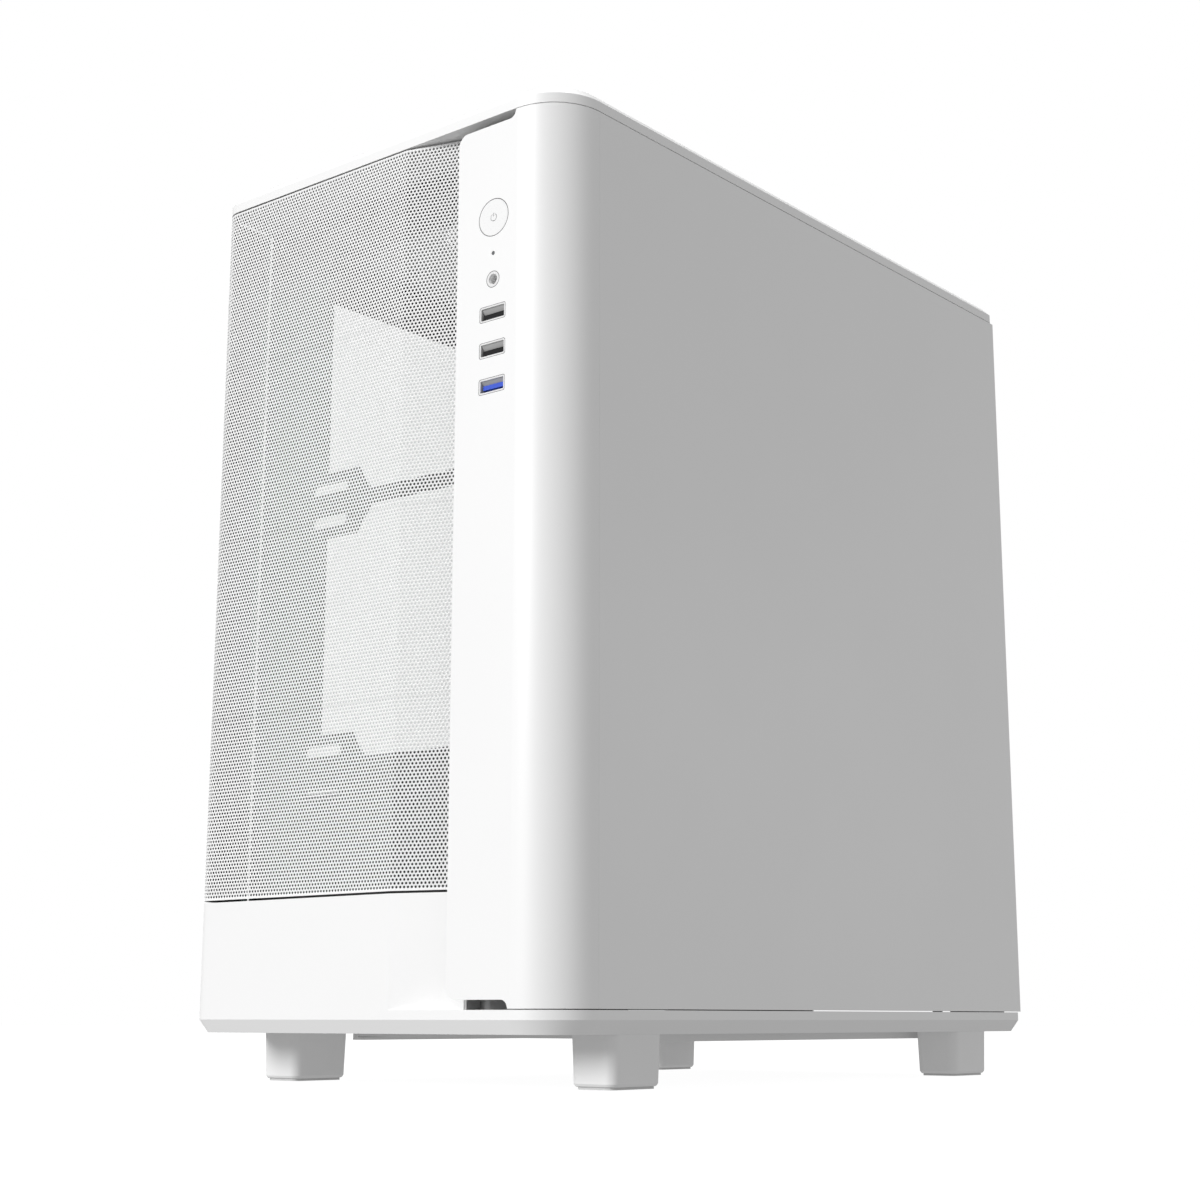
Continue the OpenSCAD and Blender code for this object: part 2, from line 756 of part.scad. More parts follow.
// Return spring round the button's stem
module button_spring() {
    start = button_cap_t + spring_wire_r + 0.05;
    rise = switch_y - spring_wire_r - 0.05 - start;
    steps = 12 * spring_turns;
    route = [
        for (i = [0 : steps])
            [io_x + spring_r * cos(30 * i), start + rise * i / steps, button_z + spring_r * sin(30 * i)]
    ];
    color("silver") place() tube(route, spring_wire_r, 6, [0, 1, 0]);
}

// Push switch on the front circuit board
module power_switch() {
    color("dimgray") place() difference() {
        translate([io_x - switch_body[0] / 2, switch_y, button_z - switch_body[2] / 2]) cube(switch_body);
        y_rod(io_x, button_z, stem_r + 0.3, switch_y - cut, switch_y + button_travel + 0.5);
    }
}

// Light pipe of the indicator
module led_lens() {
    color("aliceblue") place() y_rod(io_x, led_z, led_r, 0.1, io_board_y);
}

// Audio socket with its ring
module audio_jack() {
    color("gainsboro") place() difference() {
        union() {
            y_rod(io_x, jack_z, jack_d / 2, 0, cover_t + 1);
            block([io_x - 4, cover_t + 1, jack_z - 4], [io_x + 4, io_board_y, jack_z + 4]);
        }
        y_rod(io_x, jack_z, jack_bore_d / 2, -cut, 13);
        translate([io_x, 0, jack_z]) rotate([90, 0, 0])
            cylinder(r1 = jack_bore_d / 2, r2 = jack_bore_d / 2 + 1, h = 2, center = true);
    }
}

// Metal shell of one data socket
module usb_shell(k) {
    color("silver") place() y_prism(0, usb_depth) translate([io_x, usb_z - k * usb_pitch])
        difference() {
            rounded(usb_w, usb_h, 1);
            rounded(usb_w - 2 * usb_wall, usb_h - 2 * usb_wall, 0.3);
        }
}

module usb_upper_shell() usb_shell(0);
module usb_middle_shell() usb_shell(1);
module usb_lower_shell() usb_shell(2);

// Contact tongue of one data socket, low in the older type and central in the newer
module usb_tongue(k, low, h) {
    wide = usb_w - 2 * usb_wall;
    z = usb_z - k * usb_pitch - usb_h / 2 + usb_wall;
    place() {
        block([io_x - wide / 2 + 0.6, 1.2, z + low], [io_x + wide / 2 - 0.6, io_board_y, z + low + h]);
        block([io_x - wide / 2 + 0.15, io_board_y - 2, z + 0.15],
            [io_x + wide / 2 - 0.15, io_board_y, z + usb_h - 2 * usb_wall - 0.15]);
    }
}

module usb_black_tongues() {
    color("black") {
        usb_tongue(0, 0.3, 1.9);
        usb_tongue(1, 0.3, 1.9);
    }
}

module usb_blue_tongue() {
    color("royalblue") usb_tongue(2, 1.3, 1.9);
}

// Circuit board behind the front sockets
module io_board() {
    color("darkgreen") place() difference() {
        block([io_x - 12, io_board_y, io_header_z - 12], [io_x + 12, carrier_y, button_z + 12]);
        y_rod(io_x - 9, button_z + 9, 1.6, io_board_y - cut, carrier_y + cut);
        y_rod(io_x + 9, usb_z - 2 * usb_pitch - 9, 1.6, io_board_y - cut, carrier_y + cut);
    }
}

// Lead from the front circuit board to the motherboard, along the back of the tray
module io_cable() {
    y0 = carrier_y;
    route = smooth_route([
        [io_x, y0, io_header_z], [io_x, y0 + 40, io_header_z],
        [tray_x + 14, y0 + 66, io_header_z - 20],
        [tray_x + 14, pass_y - 4, header_z + 25], [tray_x + 14, pass_y, header_z],
        [board_x - 22, pass_y, header_z],
        [board_x - 22, board_y0 + 7, header_z], [board_x - header_h, board_y0 + 7, header_z]
    ], 8, 4);
    color("dimgray") place() tube(route, 2.6, 10, [0.2, 0.35, 1]);
}

// Motherboard with its soldered sockets, slots and coolers
module motherboard() {
    face = board_x;
    color("darkslategray") place() {
        block([face, board_y0, board_z], [face + board_t, board_y1, board_z1]);
        block([face - 4, cpu_y - 20, cpu_z - 22], [face, cpu_y + 20, cpu_z + 22]);
        for (k = [0 : 2])
            block([face - 11, board_y1 - 120, slot_z0 + k * slot_pitch - 3.5],
                [face, board_y1 - 30, slot_z0 + k * slot_pitch + 3.5]);
        for (k = [0, 1])
            block([face - 5, board_y0 + 52 + 10 * k, board_z + 98],
                [face, board_y0 + 58 + 10 * k, board_z + 238]);
        block([face - power_header_h, board_y0 + 3, power_header_z - 26],
            [face, board_y0 + 13, power_header_z + 26]);
        block([face - header_h, board_y0 + 3, header_z - 10], [face, board_y0 + 11, header_z + 10]);
        block([face - 8, board_y0 + 30, board_z + 20], [face, board_y0 + 70, board_z + 60]);
        block([face - 22, cpu_y + 26, board_z1 - 150], [face, cpu_y + 42, board_z1 - 60]);
        block([face - 9, cpu_y - 40, board_z1 - 18], [face, cpu_y + 20, board_z1 - 4]);
    }
}

// Threaded standoffs between the tray and the motherboard
module board_standoffs() {
    ys = [board_y0 + 10, board_y0 + 125, board_y1 - 12];
    zs = [board_z + 8, board_z + 120, board_z1 - 10];
    color("goldenrod") place()
        for (y = ys, z = zs)
            x_rod(y, z, 3, board_x + board_t, tray_x, $fn = 6);
}

// Block of rear sockets on the motherboard
module rear_sockets() {
    x0 = io_window_x + 4;
    color("gray") place()
        for (k = [0 : 6]) {
            z = io_window_z + 6 + 21 * k;
            difference() {
                block([x0 + 3, board_y1 - 20, z], [board_x, board_y1 - 0.3, z + 17]);
                block([x0 + 6, board_y1 - 14, z + 2], [x0 + 20, board_y1 + 1, z + 7.5]);
                block([x0 + 6, board_y1 - 14, z + 9.5], [x0 + 20, board_y1 + 1, z + 15]);
            }
        }
}

// Thin plate that fills the socket window
module io_shield() {
    x0 = io_window_x + 4;
    color("silver") place() y_prism(rear_y - sheet + 0.2, rear_y - 0.3) difference() {
        translate([io_window_x + 0.1, io_window_z + 0.1]) square(io_window - [0.2, 0.2]);
        for (k = [0 : 6])
            translate([x0 + 4, io_window_z + 6 + 21 * k + 1]) square([17, 15]);
    }
}

// Finned heatsink with its heat pipes and base
module cpu_heatsink() {
    pitch = 4.2;
    fin_t = 0.7;
    fins = 22;
    fin_x = cooler_x - 12;
    pipe_r = 3;
    pipe_end = cooler_x - 8 - fins * pitch;
    color("silver") place() {
        block([cooler_x, cpu_y - 20, cpu_z - 20], [board_x - 4, cpu_y + 20, cpu_z + 20]);
        block([cooler_x - 4, cpu_y - 16, cpu_z - 34], [cooler_x, cpu_y + 16, cpu_z + 34]);
        for (k = [0 : 3])
            x_rod(cpu_y - 12 + 8 * k, cpu_z - 30 + 20 * k, pipe_r, pipe_end, cooler_x + 4);
        for (k = [0 : fins - 1])
            block([fin_x - k * pitch, cpu_y - 26, cpu_z - 58],
                [fin_x + fin_t - k * pitch, cpu_y + 24, cpu_z + 58]);
    }
}

// Square fan frame with its motor mount, standing on Z
module fan_frame() {
    mount_z = fan_t - 3;
    difference() {
        linear_extrude(fan_t) difference() {
            rounded(fan_w - 0.4, fan_w - 0.4, 6);
            circle(r = fan_bore_r, $fn = 128);
            for (sx = [-1, 1], sy = [-1, 1])
                translate([sx * fan_holes / 2, sy * fan_holes / 2]) circle(r = 2.15);
        }
        for (a = [0 : 90 : 270])
            rotate(a) translate([fan_bore_r + 1.2, -38, 4]) cube([10, 76, fan_t - 8]);
    }
    difference() {
        union() {
            translate([0, 0, mount_z]) cylinder(r = 20.5, h = 3);
            for (a = [45 : 90 : 315])
                rotate(a) translate([18, -2.5, mount_z]) cube([fan_bore_r - 16, 5, 3]);
            translate([0, 0, 9]) cylinder(r = 4, h = mount_z - 8);
        }
        translate([0, 0, 8]) cylinder(r = shaft_r + run_gap, h = mount_z - 8);
    }
}

// Fan rotor: hub, shaft and curved blades
module fan_rotor() {
    tip_r = fan_bore_r - blade_gap;
    bend_r = 34;
    skin = 1.6;
    translate([0, 0, 3]) difference() {
        cylinder(r = 20.5, h = fan_t - 7.5);
        translate([0, 0, 2]) cylinder(r = 18.5, h = fan_t);
    }
    translate([0, 0, 4]) cylinder(r = shaft_r, h = fan_t - 8);
    intersection() {
        translate([0, 0, 3]) difference() {
            cylinder(r = tip_r, h = fan_t - 7.5, $fn = 128);
            translate([0, 0, -cut]) cylinder(r = 20, h = fan_t);
        }
        for (k = [0 : blade_count - 1])
            rotate(360 * k / blade_count) translate([0, 0, fan_t / 2 - 1]) rotate([38, 0, 0])
                translate([19, 0, -bend_r + 2]) rotate([0, 90, 0]) difference() {
                    cylinder(r = bend_r, h = 45);
                    translate([0, 0, -cut]) cylinder(r = bend_r - skin, h = 45 + 2 * cut);
                    translate([-bend_r + 6, -2 * bend_r, -cut]) cube([3 * bend_r, 4 * bend_r, 50]);
                }
    }
}

// Places a fan with its axis along Y, its intake towards the front
module y_fan(x, y, z) {
    translate([x, y, z]) rotate([-90, 0, 0]) children();
}

module cpu_fan_frame() {
    color("gainsboro") place() y_fan(cooler_x - 58, cooler_fan_y, cpu_z) fan_frame();
}

module cpu_fan_rotor() {
    color("white") place() y_fan(cooler_x - 58, cooler_fan_y, cpu_z) fan_rotor();
}

module rear_fan_frame() {
    color("gainsboro") place() y_fan(rear_fan_x, rear_y - sheet - fan_t, rear_fan_z) fan_frame();
}

module rear_fan_rotor() {
    color("white") place() y_fan(rear_fan_x, rear_y - sheet - fan_t, rear_fan_z) fan_rotor();
}

// Two memory modules with their heat spreaders
module memory_modules() {
    color("white") place()
        for (k = [0, 1]) {
            y = board_y0 + 55 + 10 * k;
            block([board_x - 36, y - 2.5, board_z + 102], [board_x - 5, y + 2.5, board_z + 234]);
        }
}

// Blanking covers of the expansion slots
module slot_covers() {
    color("white") place()
        for (k = [0 : slot_count - 1]) {
            z = slot_z0 + k * slot_pitch;
            block([board_x - 116, rear_y - sheet - 1, z - 9], [board_x - 2, rear_y - sheet, z + 9]);
            block([board_x - 117, rear_y - sheet - 12, z - 9], [board_x - 116, rear_y - sheet, z + 9]);
        }
}

// Screws that hold the slot covers
module slot_screws() {
    color("silver") place()
        for (k = [0 : slot_count - 1]) {
            z = slot_z0 + k * slot_pitch;
            x_rod(rear_y - sheet - 7, z, 3, board_x - 119, board_x - 117);
        }
}

// Folded case of the power supply
module psu_case() {
    wall = 1;
    high = [psu_x + psu_w, psu_y + psu_l, psu_z + psu_h];
    color("dimgray") place() difference() {
        block([psu_x, psu_y, psu_z], high);
        block([psu_x + wall, psu_y + wall, psu_z + wall], high - [wall, wall, wall]);
        translate([psu_x + psu_w / 2, psu_y + psu_l / 2, psu_z - cut]) cylinder(r = 57, h = wall + 2 * cut);
        block([inlet_low[0], high[1] - 2, inlet_low[1]], [inlet_high[0], high[1] + 1, inlet_high[1]]);
        for (p = psu_screw_places) y_rod(p[0], p[1], psu_screw_r + run_gap, high[1] - 2, high[1] + 1);
        for (i = [0 : 8], k = [0 : 3])
            y_rod(psu_x + 14 + 8 * i + 4 * (k % 2), psu_z + 14 + 8 * k, 3, high[1] - 2, high[1] + 1);
        for (i = [0 : 3], k = [4 : 7])
            y_rod(psu_x + 86 + 12 * i + 4 * (k % 2), psu_z + 14 + 8 * k, 3, high[1] - 2, high[1] + 1);
        block([tray_x - 30, psu_y - 1, psu_z + 44], [tray_x - 10, psu_y + 2, psu_z + 58]);
    }
}

// Frame of the power supply's fan, above its floor opening
module psu_fan_frame() {
    color("dimgray") place()
        translate([psu_x + psu_w / 2, psu_y + psu_l / 2, psu_z + 1]) fan_frame();
}

module psu_fan_rotor() {
    color("black") place()
        translate([psu_x + psu_w / 2, psu_y + psu_l / 2, psu_z + 1]) fan_rotor();
}

// Mains inlet with its three pins and the chamber of the mains switch
module psu_inlet() {
    back = psu_y + psu_l;
    fit = 0.1;
    color("black") place() {
        difference() {
            block([inlet_low[0] + fit, back - 20, inlet_low[1] + fit],
                [inlet_high[0] - fit, back, inlet_high[1] - fit]);
            block([inlet_x - 12, back - 17, inlet_z - 8], [inlet_x + 12, back + 1, inlet_z + 8]);
            x_rod(rocker_y, inlet_z, rocker_r + 0.3, rocker_x - rocker_w / 2 - 0.3,
                rocker_x + rocker_w / 2 + 0.3);
            x_rod(rocker_y, inlet_z, 1.5 + run_gap, rocker_x - rocker_w / 2 - 1.6,
                rocker_x + rocker_w / 2 + 1.6);
        }
        for (p = [[-7, -1.5], [0, 2.5], [7, -1.5]])
            block([inlet_x + p[0] - 1, back - 18, inlet_z + p[1] - 2],
                [inlet_x + p[0] + 1, back - 3, inlet_z + p[1] + 2]);
    }
}

// Rocker of the mains switch on its two short pins, tipped to one side
module psu_rocker() {
    tip = 9;
    color("black") place() translate([rocker_x, rocker_y, inlet_z]) rotate([tip, 0, 0]) {
        difference() {
            x_rod(0, 0, rocker_r, -rocker_w / 2, rocker_w / 2);
            x_prism(-rocker_w, rocker_w) polygon([[5, 0], [7.4, -12], [12, -12], [12, 12], [7.4, 12]]);
        }
        x_rod(0, 0, 1.5, -rocker_w / 2 - 1.4, rocker_w / 2 + 1.4);
    }
}

// Screws that hold the power supply to the rear wall
module psu_screws() {
    color("silver") place()
        for (p = psu_screw_places) {
            y_rod(p[0], p[1], psu_screw_r, rear_y - 7, rear_y + 1);
            y_rod(p[0], p[1], 3.4, rear_y, rear_y + 2);
        }
}

// Sheet cage for the hard drive
module drive_cage() {
    w = drive_size[0] + 1;
    x = drive_x - w / 2;
    h = drive_size[2] + 6;
    color("white") place() {
        block([x, cage_y, floor_top], [x + w, cage_y + drive_size[1], floor_top + 1]);
        block([x - 1, cage_y, floor_top], [x, cage_y + drive_size[1], floor_top + h]);
        block([x + w, cage_y, floor_top], [x + w + 1, cage_y + drive_size[1], floor_top + h]);
    }
}

// Hard drive in its cage
module hard_drive() {
    x = drive_x - drive_size[0] / 2;
    low = [x, cage_y + 0.5, floor_top + 3];
    color("silver") place() {
        block(low, low + drive_size);
        for (y = [30, 100])
            translate(low + [drive_size[0] / 2 - 20, y, -2]) cube([40, 12, 2]);
    }
}

// Solid-state drive on the back of the tray
module solid_state_drive() {
    low = [tray_x + sheet, psu_y - 3.5, board_z - 5];
    color("dimgray") place() block(low, low + ssd_size);
}

// Main power cable from the supply, behind the tray, to the edge of the motherboard
module power_cable() {
    route = smooth_route([
        [tray_x - 20, psu_y + 2, psu_z + 51], [tray_x - 20, psu_y - 28, psu_z + 58],
        [tray_x + 14, psu_y - 32, psu_z + 60], [tray_x + 14, board_y0 + 1, header_z + 10],
        [tray_x + 14, pass_y, power_header_z], [board_x - 30, pass_y, power_header_z],
        [board_x - 30, board_y0 + 8, power_header_z],
        [board_x - power_header_h, board_y0 + 8, power_header_z]
    ], 9, 4);
    color("black") place() tube(route, 5, 10, [0.3, 0.2, 1]);
}

base_shell();
top_plate();
top_filter();
chassis_front_wall();
chassis_floor();
chassis_roof();
chassis_rear_wall();
motherboard_tray();
psu_shroud();
io_carrier();
corner_cover();
front_mesh();
mesh_hooks();
side_panel_right();
panel_thumbscrews();
glass_pane();
glass_frame();
glass_studs();
foot_front_left();
foot_front_right();
foot_rear_left();
foot_rear_right();
foot_pads();
foot_screws();
bottom_filter();
filter_rails();
power_button();
button_spring();
power_switch();
led_lens();
audio_jack();
usb_upper_shell();
usb_middle_shell();
usb_lower_shell();
usb_black_tongues();
usb_blue_tongue();
io_board();
io_cable();
motherboard();
board_standoffs();
rear_sockets();
io_shield();
cpu_heatsink();
cpu_fan_frame();
cpu_fan_rotor();
memory_modules();
rear_fan_frame();
rear_fan_rotor();
slot_covers();
slot_screws();
psu_case();
psu_fan_frame();
psu_fan_rotor();
psu_inlet();
psu_rocker();
psu_screws();
drive_cage();
hard_drive();
solid_state_drive();
power_cable();
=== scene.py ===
"""Looks of the desktop computer tower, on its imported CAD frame."""
import json
import math
import bmesh
import bpy
import numpy as np
from mathutils import Matrix, Vector


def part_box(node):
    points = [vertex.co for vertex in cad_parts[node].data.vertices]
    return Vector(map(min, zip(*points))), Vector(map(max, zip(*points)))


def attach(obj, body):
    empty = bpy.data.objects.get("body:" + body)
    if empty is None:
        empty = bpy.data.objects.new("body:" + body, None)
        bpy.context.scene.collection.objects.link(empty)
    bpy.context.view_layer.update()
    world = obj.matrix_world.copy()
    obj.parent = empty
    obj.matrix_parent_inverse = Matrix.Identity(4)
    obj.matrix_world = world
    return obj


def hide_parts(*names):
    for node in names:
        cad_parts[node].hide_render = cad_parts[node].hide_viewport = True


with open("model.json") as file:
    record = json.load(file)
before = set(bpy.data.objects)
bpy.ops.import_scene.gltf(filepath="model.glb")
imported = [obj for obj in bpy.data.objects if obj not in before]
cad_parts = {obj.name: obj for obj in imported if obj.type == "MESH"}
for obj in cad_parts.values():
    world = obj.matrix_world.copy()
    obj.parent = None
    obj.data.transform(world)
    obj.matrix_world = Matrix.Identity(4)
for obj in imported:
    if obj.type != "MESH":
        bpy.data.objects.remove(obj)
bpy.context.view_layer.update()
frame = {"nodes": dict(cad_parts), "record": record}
nodes = frame["nodes"]
SLOT_OF = {s["node"]: s["material_slot"] for s in frame["record"]["subparts"]}
MM = 0.001


# ---------------------------------------------------------------- camera, light and stage
def make_camera():
    data = bpy.data.cameras.new("camera")
    data.lens, data.sensor_width = 60.13, 36.0
    data.clip_start, data.clip_end = 0.02, 50.0
    cam = bpy.data.objects.new("camera", data)
    yaw, pitch, roll = math.radians(39.284), math.radians(11.780), math.radians(0.06)
    toward = Vector((-math.sin(yaw) * math.cos(pitch), math.cos(yaw) * math.cos(pitch), math.sin(pitch)))
    turn = toward.to_track_quat("-Z", "Y").to_matrix().to_4x4() @ Matrix.Rotation(roll, 4, "Z")
    cam.matrix_world = Matrix.Translation((0.5969, -0.7579, 0.0273)) @ turn
    bpy.context.collection.objects.link(cam)
    bpy.context.scene.camera = cam


def make_world(level):
    world = bpy.data.worlds.new("studio")
    world.use_nodes = True
    nt = world.node_tree
    nt.nodes.clear()
    out = nt.nodes.new("ShaderNodeOutputWorld")
    mix = nt.nodes.new("ShaderNodeMixShader")
    fill = nt.nodes.new("ShaderNodeBackground")
    fill.inputs["Color"].default_value = (1, 1, 1, 1)
    fill.inputs["Strength"].default_value = level
    white = nt.nodes.new("ShaderNodeBackground")
    white.inputs["Color"].default_value = (1, 1, 1, 1)
    white.inputs["Strength"].default_value = 1.0
    path = nt.nodes.new("ShaderNodeLightPath")
    nt.links.new(path.outputs["Is Camera Ray"], mix.inputs["Fac"])
    nt.links.new(fill.outputs[0], mix.inputs[1])
    nt.links.new(white.outputs[0], mix.inputs[2])
    nt.links.new(mix.outputs[0], out.inputs["Surface"])
    bpy.context.scene.world = world


def make_sun(name, toward, strength, angle):
    data = bpy.data.lights.new(name, "SUN")
    data.energy, data.angle = strength * math.pi, math.radians(angle)
    sun = bpy.data.objects.new(name, data)
    sun.rotation_euler = Vector(toward).to_track_quat("Z", "Y").to_euler()
    bpy.context.collection.objects.link(sun)


def make_area(name, at, look, size, power):
    data = bpy.data.lights.new(name, "AREA")
    data.shape, data.size, data.energy = "SQUARE", size, power
    lamp = bpy.data.objects.new(name, data)
    lamp.location = at
    lamp.rotation_euler = (Vector(look) - Vector(at)).to_track_quat("-Z", "Y").to_euler()
    bpy.context.collection.objects.link(lamp)


def make_floor():
    bm = bmesh.new()
    bmesh.ops.create_circle(bm, cap_ends=True, segments=64, radius=6.0)
    floor = add_mesh("studio_floor", bm)
    floor.location.z = -0.0005
    mat = bpy.data.materials.new("studio_floor")
    mat.use_nodes = True
    nt = mat.node_tree
    shader = nt.nodes["Principled BSDF"]
    shader.inputs["Base Color"].default_value = (0.12, 0.12, 0.12, 1)
    shader.inputs["Roughness"].default_value = 1.0
    shader.inputs["Specular IOR Level"].default_value = 0.0
    shader.inputs["Emission Color"].default_value = (1, 1, 1, 1)
    shader.inputs["Emission Strength"].default_value = 0.955
    floor.data.materials.append(mat)
    floor.visible_diffuse = False
    floor.visible_glossy = False


# ---------------------------------------------------------------- mesh helpers
def add_mesh(name, bm):
    mesh = bpy.data.meshes.new(name)
    bm.to_mesh(mesh)
    bm.free()
    obj = bpy.data.objects.new(name, mesh)
    bpy.context.collection.objects.link(obj)
    return obj


def add_arrays(name, points, faces):
    """A mesh from an array of points and a list of face index arrays, each with its own corner count."""
    mesh = bpy.data.meshes.new(name)
    counts = np.concatenate([np.full(len(f), f.shape[1]) for f in faces])
    corners = np.concatenate([f.ravel() for f in faces])
    used, corners = np.unique(corners, return_inverse=True)
    points = points[used]
    mesh.vertices.add(len(points))
    mesh.vertices.foreach_set("co", points.astype(np.float32).ravel())
    mesh.loops.add(len(corners))
    mesh.loops.foreach_set("vertex_index", corners.astype(np.int32))
    mesh.polygons.add(len(counts))
    starts = np.concatenate([[0], np.cumsum(counts)[:-1]])
    mesh.polygons.foreach_set("loop_start", starts.astype(np.int32))
    mesh.polygons.foreach_set("loop_total", counts.astype(np.int32))
    mesh.update(calc_edges=True)
    mesh.validate()
    obj = bpy.data.objects.new(name, mesh)
    bpy.context.collection.objects.link(obj)
    return obj


def put(obj, body, slot, *replaced):
    """Gives a new piece its material, its body and the CAD nodes it stands for."""
    obj.data.materials.clear()
    obj.data.materials.append(MATERIALS[slot])
    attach(obj, body)
    if replaced:
        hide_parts(*replaced)
    return obj


# ---------------------------------------------------------------- materials
class Shader:
    """A Principled material whose colour, roughness and relief come from procedural nodes."""

    def __init__(self, name, color, rough, metal=0.0, specular=0.5):
        self.mat = bpy.data.materials.new(name)
        self.mat.use_nodes = True
        self.nt = self.mat.node_tree
        self.bsdf = self.nt.nodes["Principled BSDF"]
        self.out = self.nt.nodes["Material Output"]
        self.color, self.rough = color, rough
        self.bsdf.inputs["Metallic"].default_value = metal
        self.bsdf.inputs["Specular IOR Level"].default_value = specular
        self.coord = self.nt.nodes.new("ShaderNodeTexCoord").outputs["Object"]
        self.height = None

    def node(self, kind, **values):
        n = self.nt.nodes.new("ShaderNode" + kind)
        for key, value in values.items():
            if key in n.inputs:
                n.inputs[key].default_value = value
            else:
                setattr(n, key, value)
        return n

    def link(self, a, b):
        self.nt.links.new(a, b)

    def scaled(self, x, y, z):
        m = self.node("Mapping")
        m.inputs["Scale"].default_value = (x, y, z)
        self.link(self.coord, m.inputs["Vector"])
        return m.outputs[0]

    def noise(self, scale, detail=2.0, rough=0.5, vector=None):
        n = self.node("TexNoise", Scale=scale, Detail=detail, Roughness=rough)
        self.link(vector or self.coord, n.inputs["Vector"])
        return n.outputs["Fac"]

    def ramp(self, fac, low, high, a=0.0, b=1.0):
        n = self.node("MapRange")
        for key, value in (("From Min", low), ("From Max", high), ("To Min", a), ("To Max", b)):
            n.inputs[key].default_value = value
        self.link(fac, n.inputs["Value"])
        return n.outputs[0]

    def math(self, op, a, b=None):
        n = self.node("Math", operation=op)
        for k, v in enumerate((a, b)):
            if v is None:
                continue
            if isinstance(v, (int, float)):
                n.inputs[k].default_value = v
            else:
                self.link(v, n.inputs[k])
        return n.outputs[0]

    def vary(self, fac, other):
        """Colour that goes from the base colour to another as fac goes from 0 to 1."""
        n = self.node("Mix", data_type="RGBA")
        n.inputs[6].default_value = (*self.color, 1)
        n.inputs[7].default_value = (*other, 1)
        self.link(fac, n.inputs[0])
        self.link(n.outputs[2], self.bsdf.inputs["Base Color"])
        return self

    def roughness(self, fac, low, high):
        self.link(self.ramp(fac, 0.3, 0.7, low, high), self.bsdf.inputs["Roughness"])
        return self

    def relief(self, height, depth):
        """Bump of the given depth in millimetres."""
        n = self.node("Bump", Strength=1.0, Distance=depth * MM)
        self.link(height, n.inputs["Height"])
        if self.height is not None:
            self.link(self.height, n.inputs["Normal"])
        self.height = n.outputs[0]
        self.link(self.height, self.bsdf.inputs["Normal"])
        return self


def shade(color, k):
    return tuple(min(1.0, c * k) for c in color)


def paint(name, color, rough=0.42, grain=0.012):
    """Powder coat: fine orange peel, and a slow change of tone that handling and dust leave."""
    s = Shader(name, color, rough)
    peel = s.noise(900, 3.0, 0.55)
    slow = s.noise(9, 4.0, 0.6)
    s.vary(s.ramp(slow, 0.35, 0.75), shade(color, 0.985))
    wear = s.math("ADD", s.math("MULTIPLY", peel, 0.5), s.math("MULTIPLY", slow, 0.5))
    s.roughness(wear, rough - 0.05, rough + 0.06)
    s.relief(peel, grain)
    return s.mat


def moulded(name, color, rough=0.45, grain=0.01, scale=1600, specular=0.5):
    """Moulded plastic with a fine spark-eroded grain."""
    s = Shader(name, color, rough, specular=specular)
    fine = s.noise(scale, 2.0, 0.6)
    slow = s.noise(25, 3.0, 0.5)
    s.vary(s.ramp(slow, 0.3, 0.8), shade(color, 0.96))
    s.roughness(fine, rough - 0.06, rough + 0.06)
    s.relief(fine, grain)
    return s.mat


def plated(name, color, rough=0.28, brush=(400, 400, 400)):
    """Plated or brushed metal, with fine lines along its longest scale."""
    s = Shader(name, color, rough, metal=1.0)
    lines = s.noise(1.0, 3.0, 0.65, s.scaled(*brush))
    slow = s.noise(60, 2.0, 0.5)
    s.vary(s.ramp(lines, 0.3, 0.7), shade(color, 0.88))
    wear = s.math("ADD", s.math("MULTIPLY", lines, 0.6), s.math("MULTIPLY", slow, 0.4))
    s.roughness(wear, rough - 0.06, rough + 0.1)
    s.relief(lines, 0.004)
    return s.mat


def rubber(name, color):
    s = Shader(name, color, 0.75, specular=0.3)
    fine = s.noise(1200, 3.0, 0.6)
    dust = s.noise(70, 4.0, 0.65)
    s.vary(s.ramp(dust, 0.45, 0.75), shade(color, 0.9))
    s.roughness(fine, 0.68, 0.85)
    s.relief(fine, 0.02)
    return s.mat


def woven(name, color):
    """Braided sleeve of a cable."""
    s = Shader(name, color, 0.6, specular=0.3)
    a = s.node("TexWave", wave_type="BANDS", bands_direction="DIAGONAL", Scale=260.0, Distortion=0.6)
    b = s.node("TexWave", wave_type="BANDS", bands_direction="DIAGONAL", Scale=260.0, Distortion=0.6)
    s.link(s.coord, a.inputs["Vector"])
    s.link(s.scaled(-1, 1, 1), b.inputs["Vector"])
    cross = s.math("MAXIMUM", a.outputs["Fac"], b.outputs["Fac"])
    s.vary(cross, shade(color, 2.2))
    s.roughness(cross, 0.5, 0.75)
    s.relief(cross, 0.15)
    return s.mat


def board(name, color):
    """Solder mask over copper tracks, with fine straight runs in two directions."""
    s = Shader(name, color, 0.35)
    brick = s.node("TexBrick", Scale=1.0)
    brick.inputs["Brick Width"].default_value = 9.0
    brick.inputs["Row Height"].default_value = 1.6
    brick.inputs["Mortar Size"].default_value = 0.22
    swap = s.node("CombineXYZ")
    split = s.node("SeparateXYZ")
    s.link(s.scaled(1000, 1000, 1000), split.inputs[0])
    s.link(split.outputs["Y"], swap.inputs["X"])
    s.link(split.outputs["Z"], swap.inputs["Y"])
    s.link(swap.outputs[0], brick.inputs["Vector"])
    tracks = s.math("MULTIPLY", brick.outputs["Fac"], s.ramp(s.noise(45, 2.0), 0.5, 0.56))
    s.vary(tracks, tuple(c * 1.9 + 0.015 for c in color))
    s.roughness(s.noise(300, 2.0), 0.28, 0.42)
    s.relief(tracks, 0.03)
    return s.mat


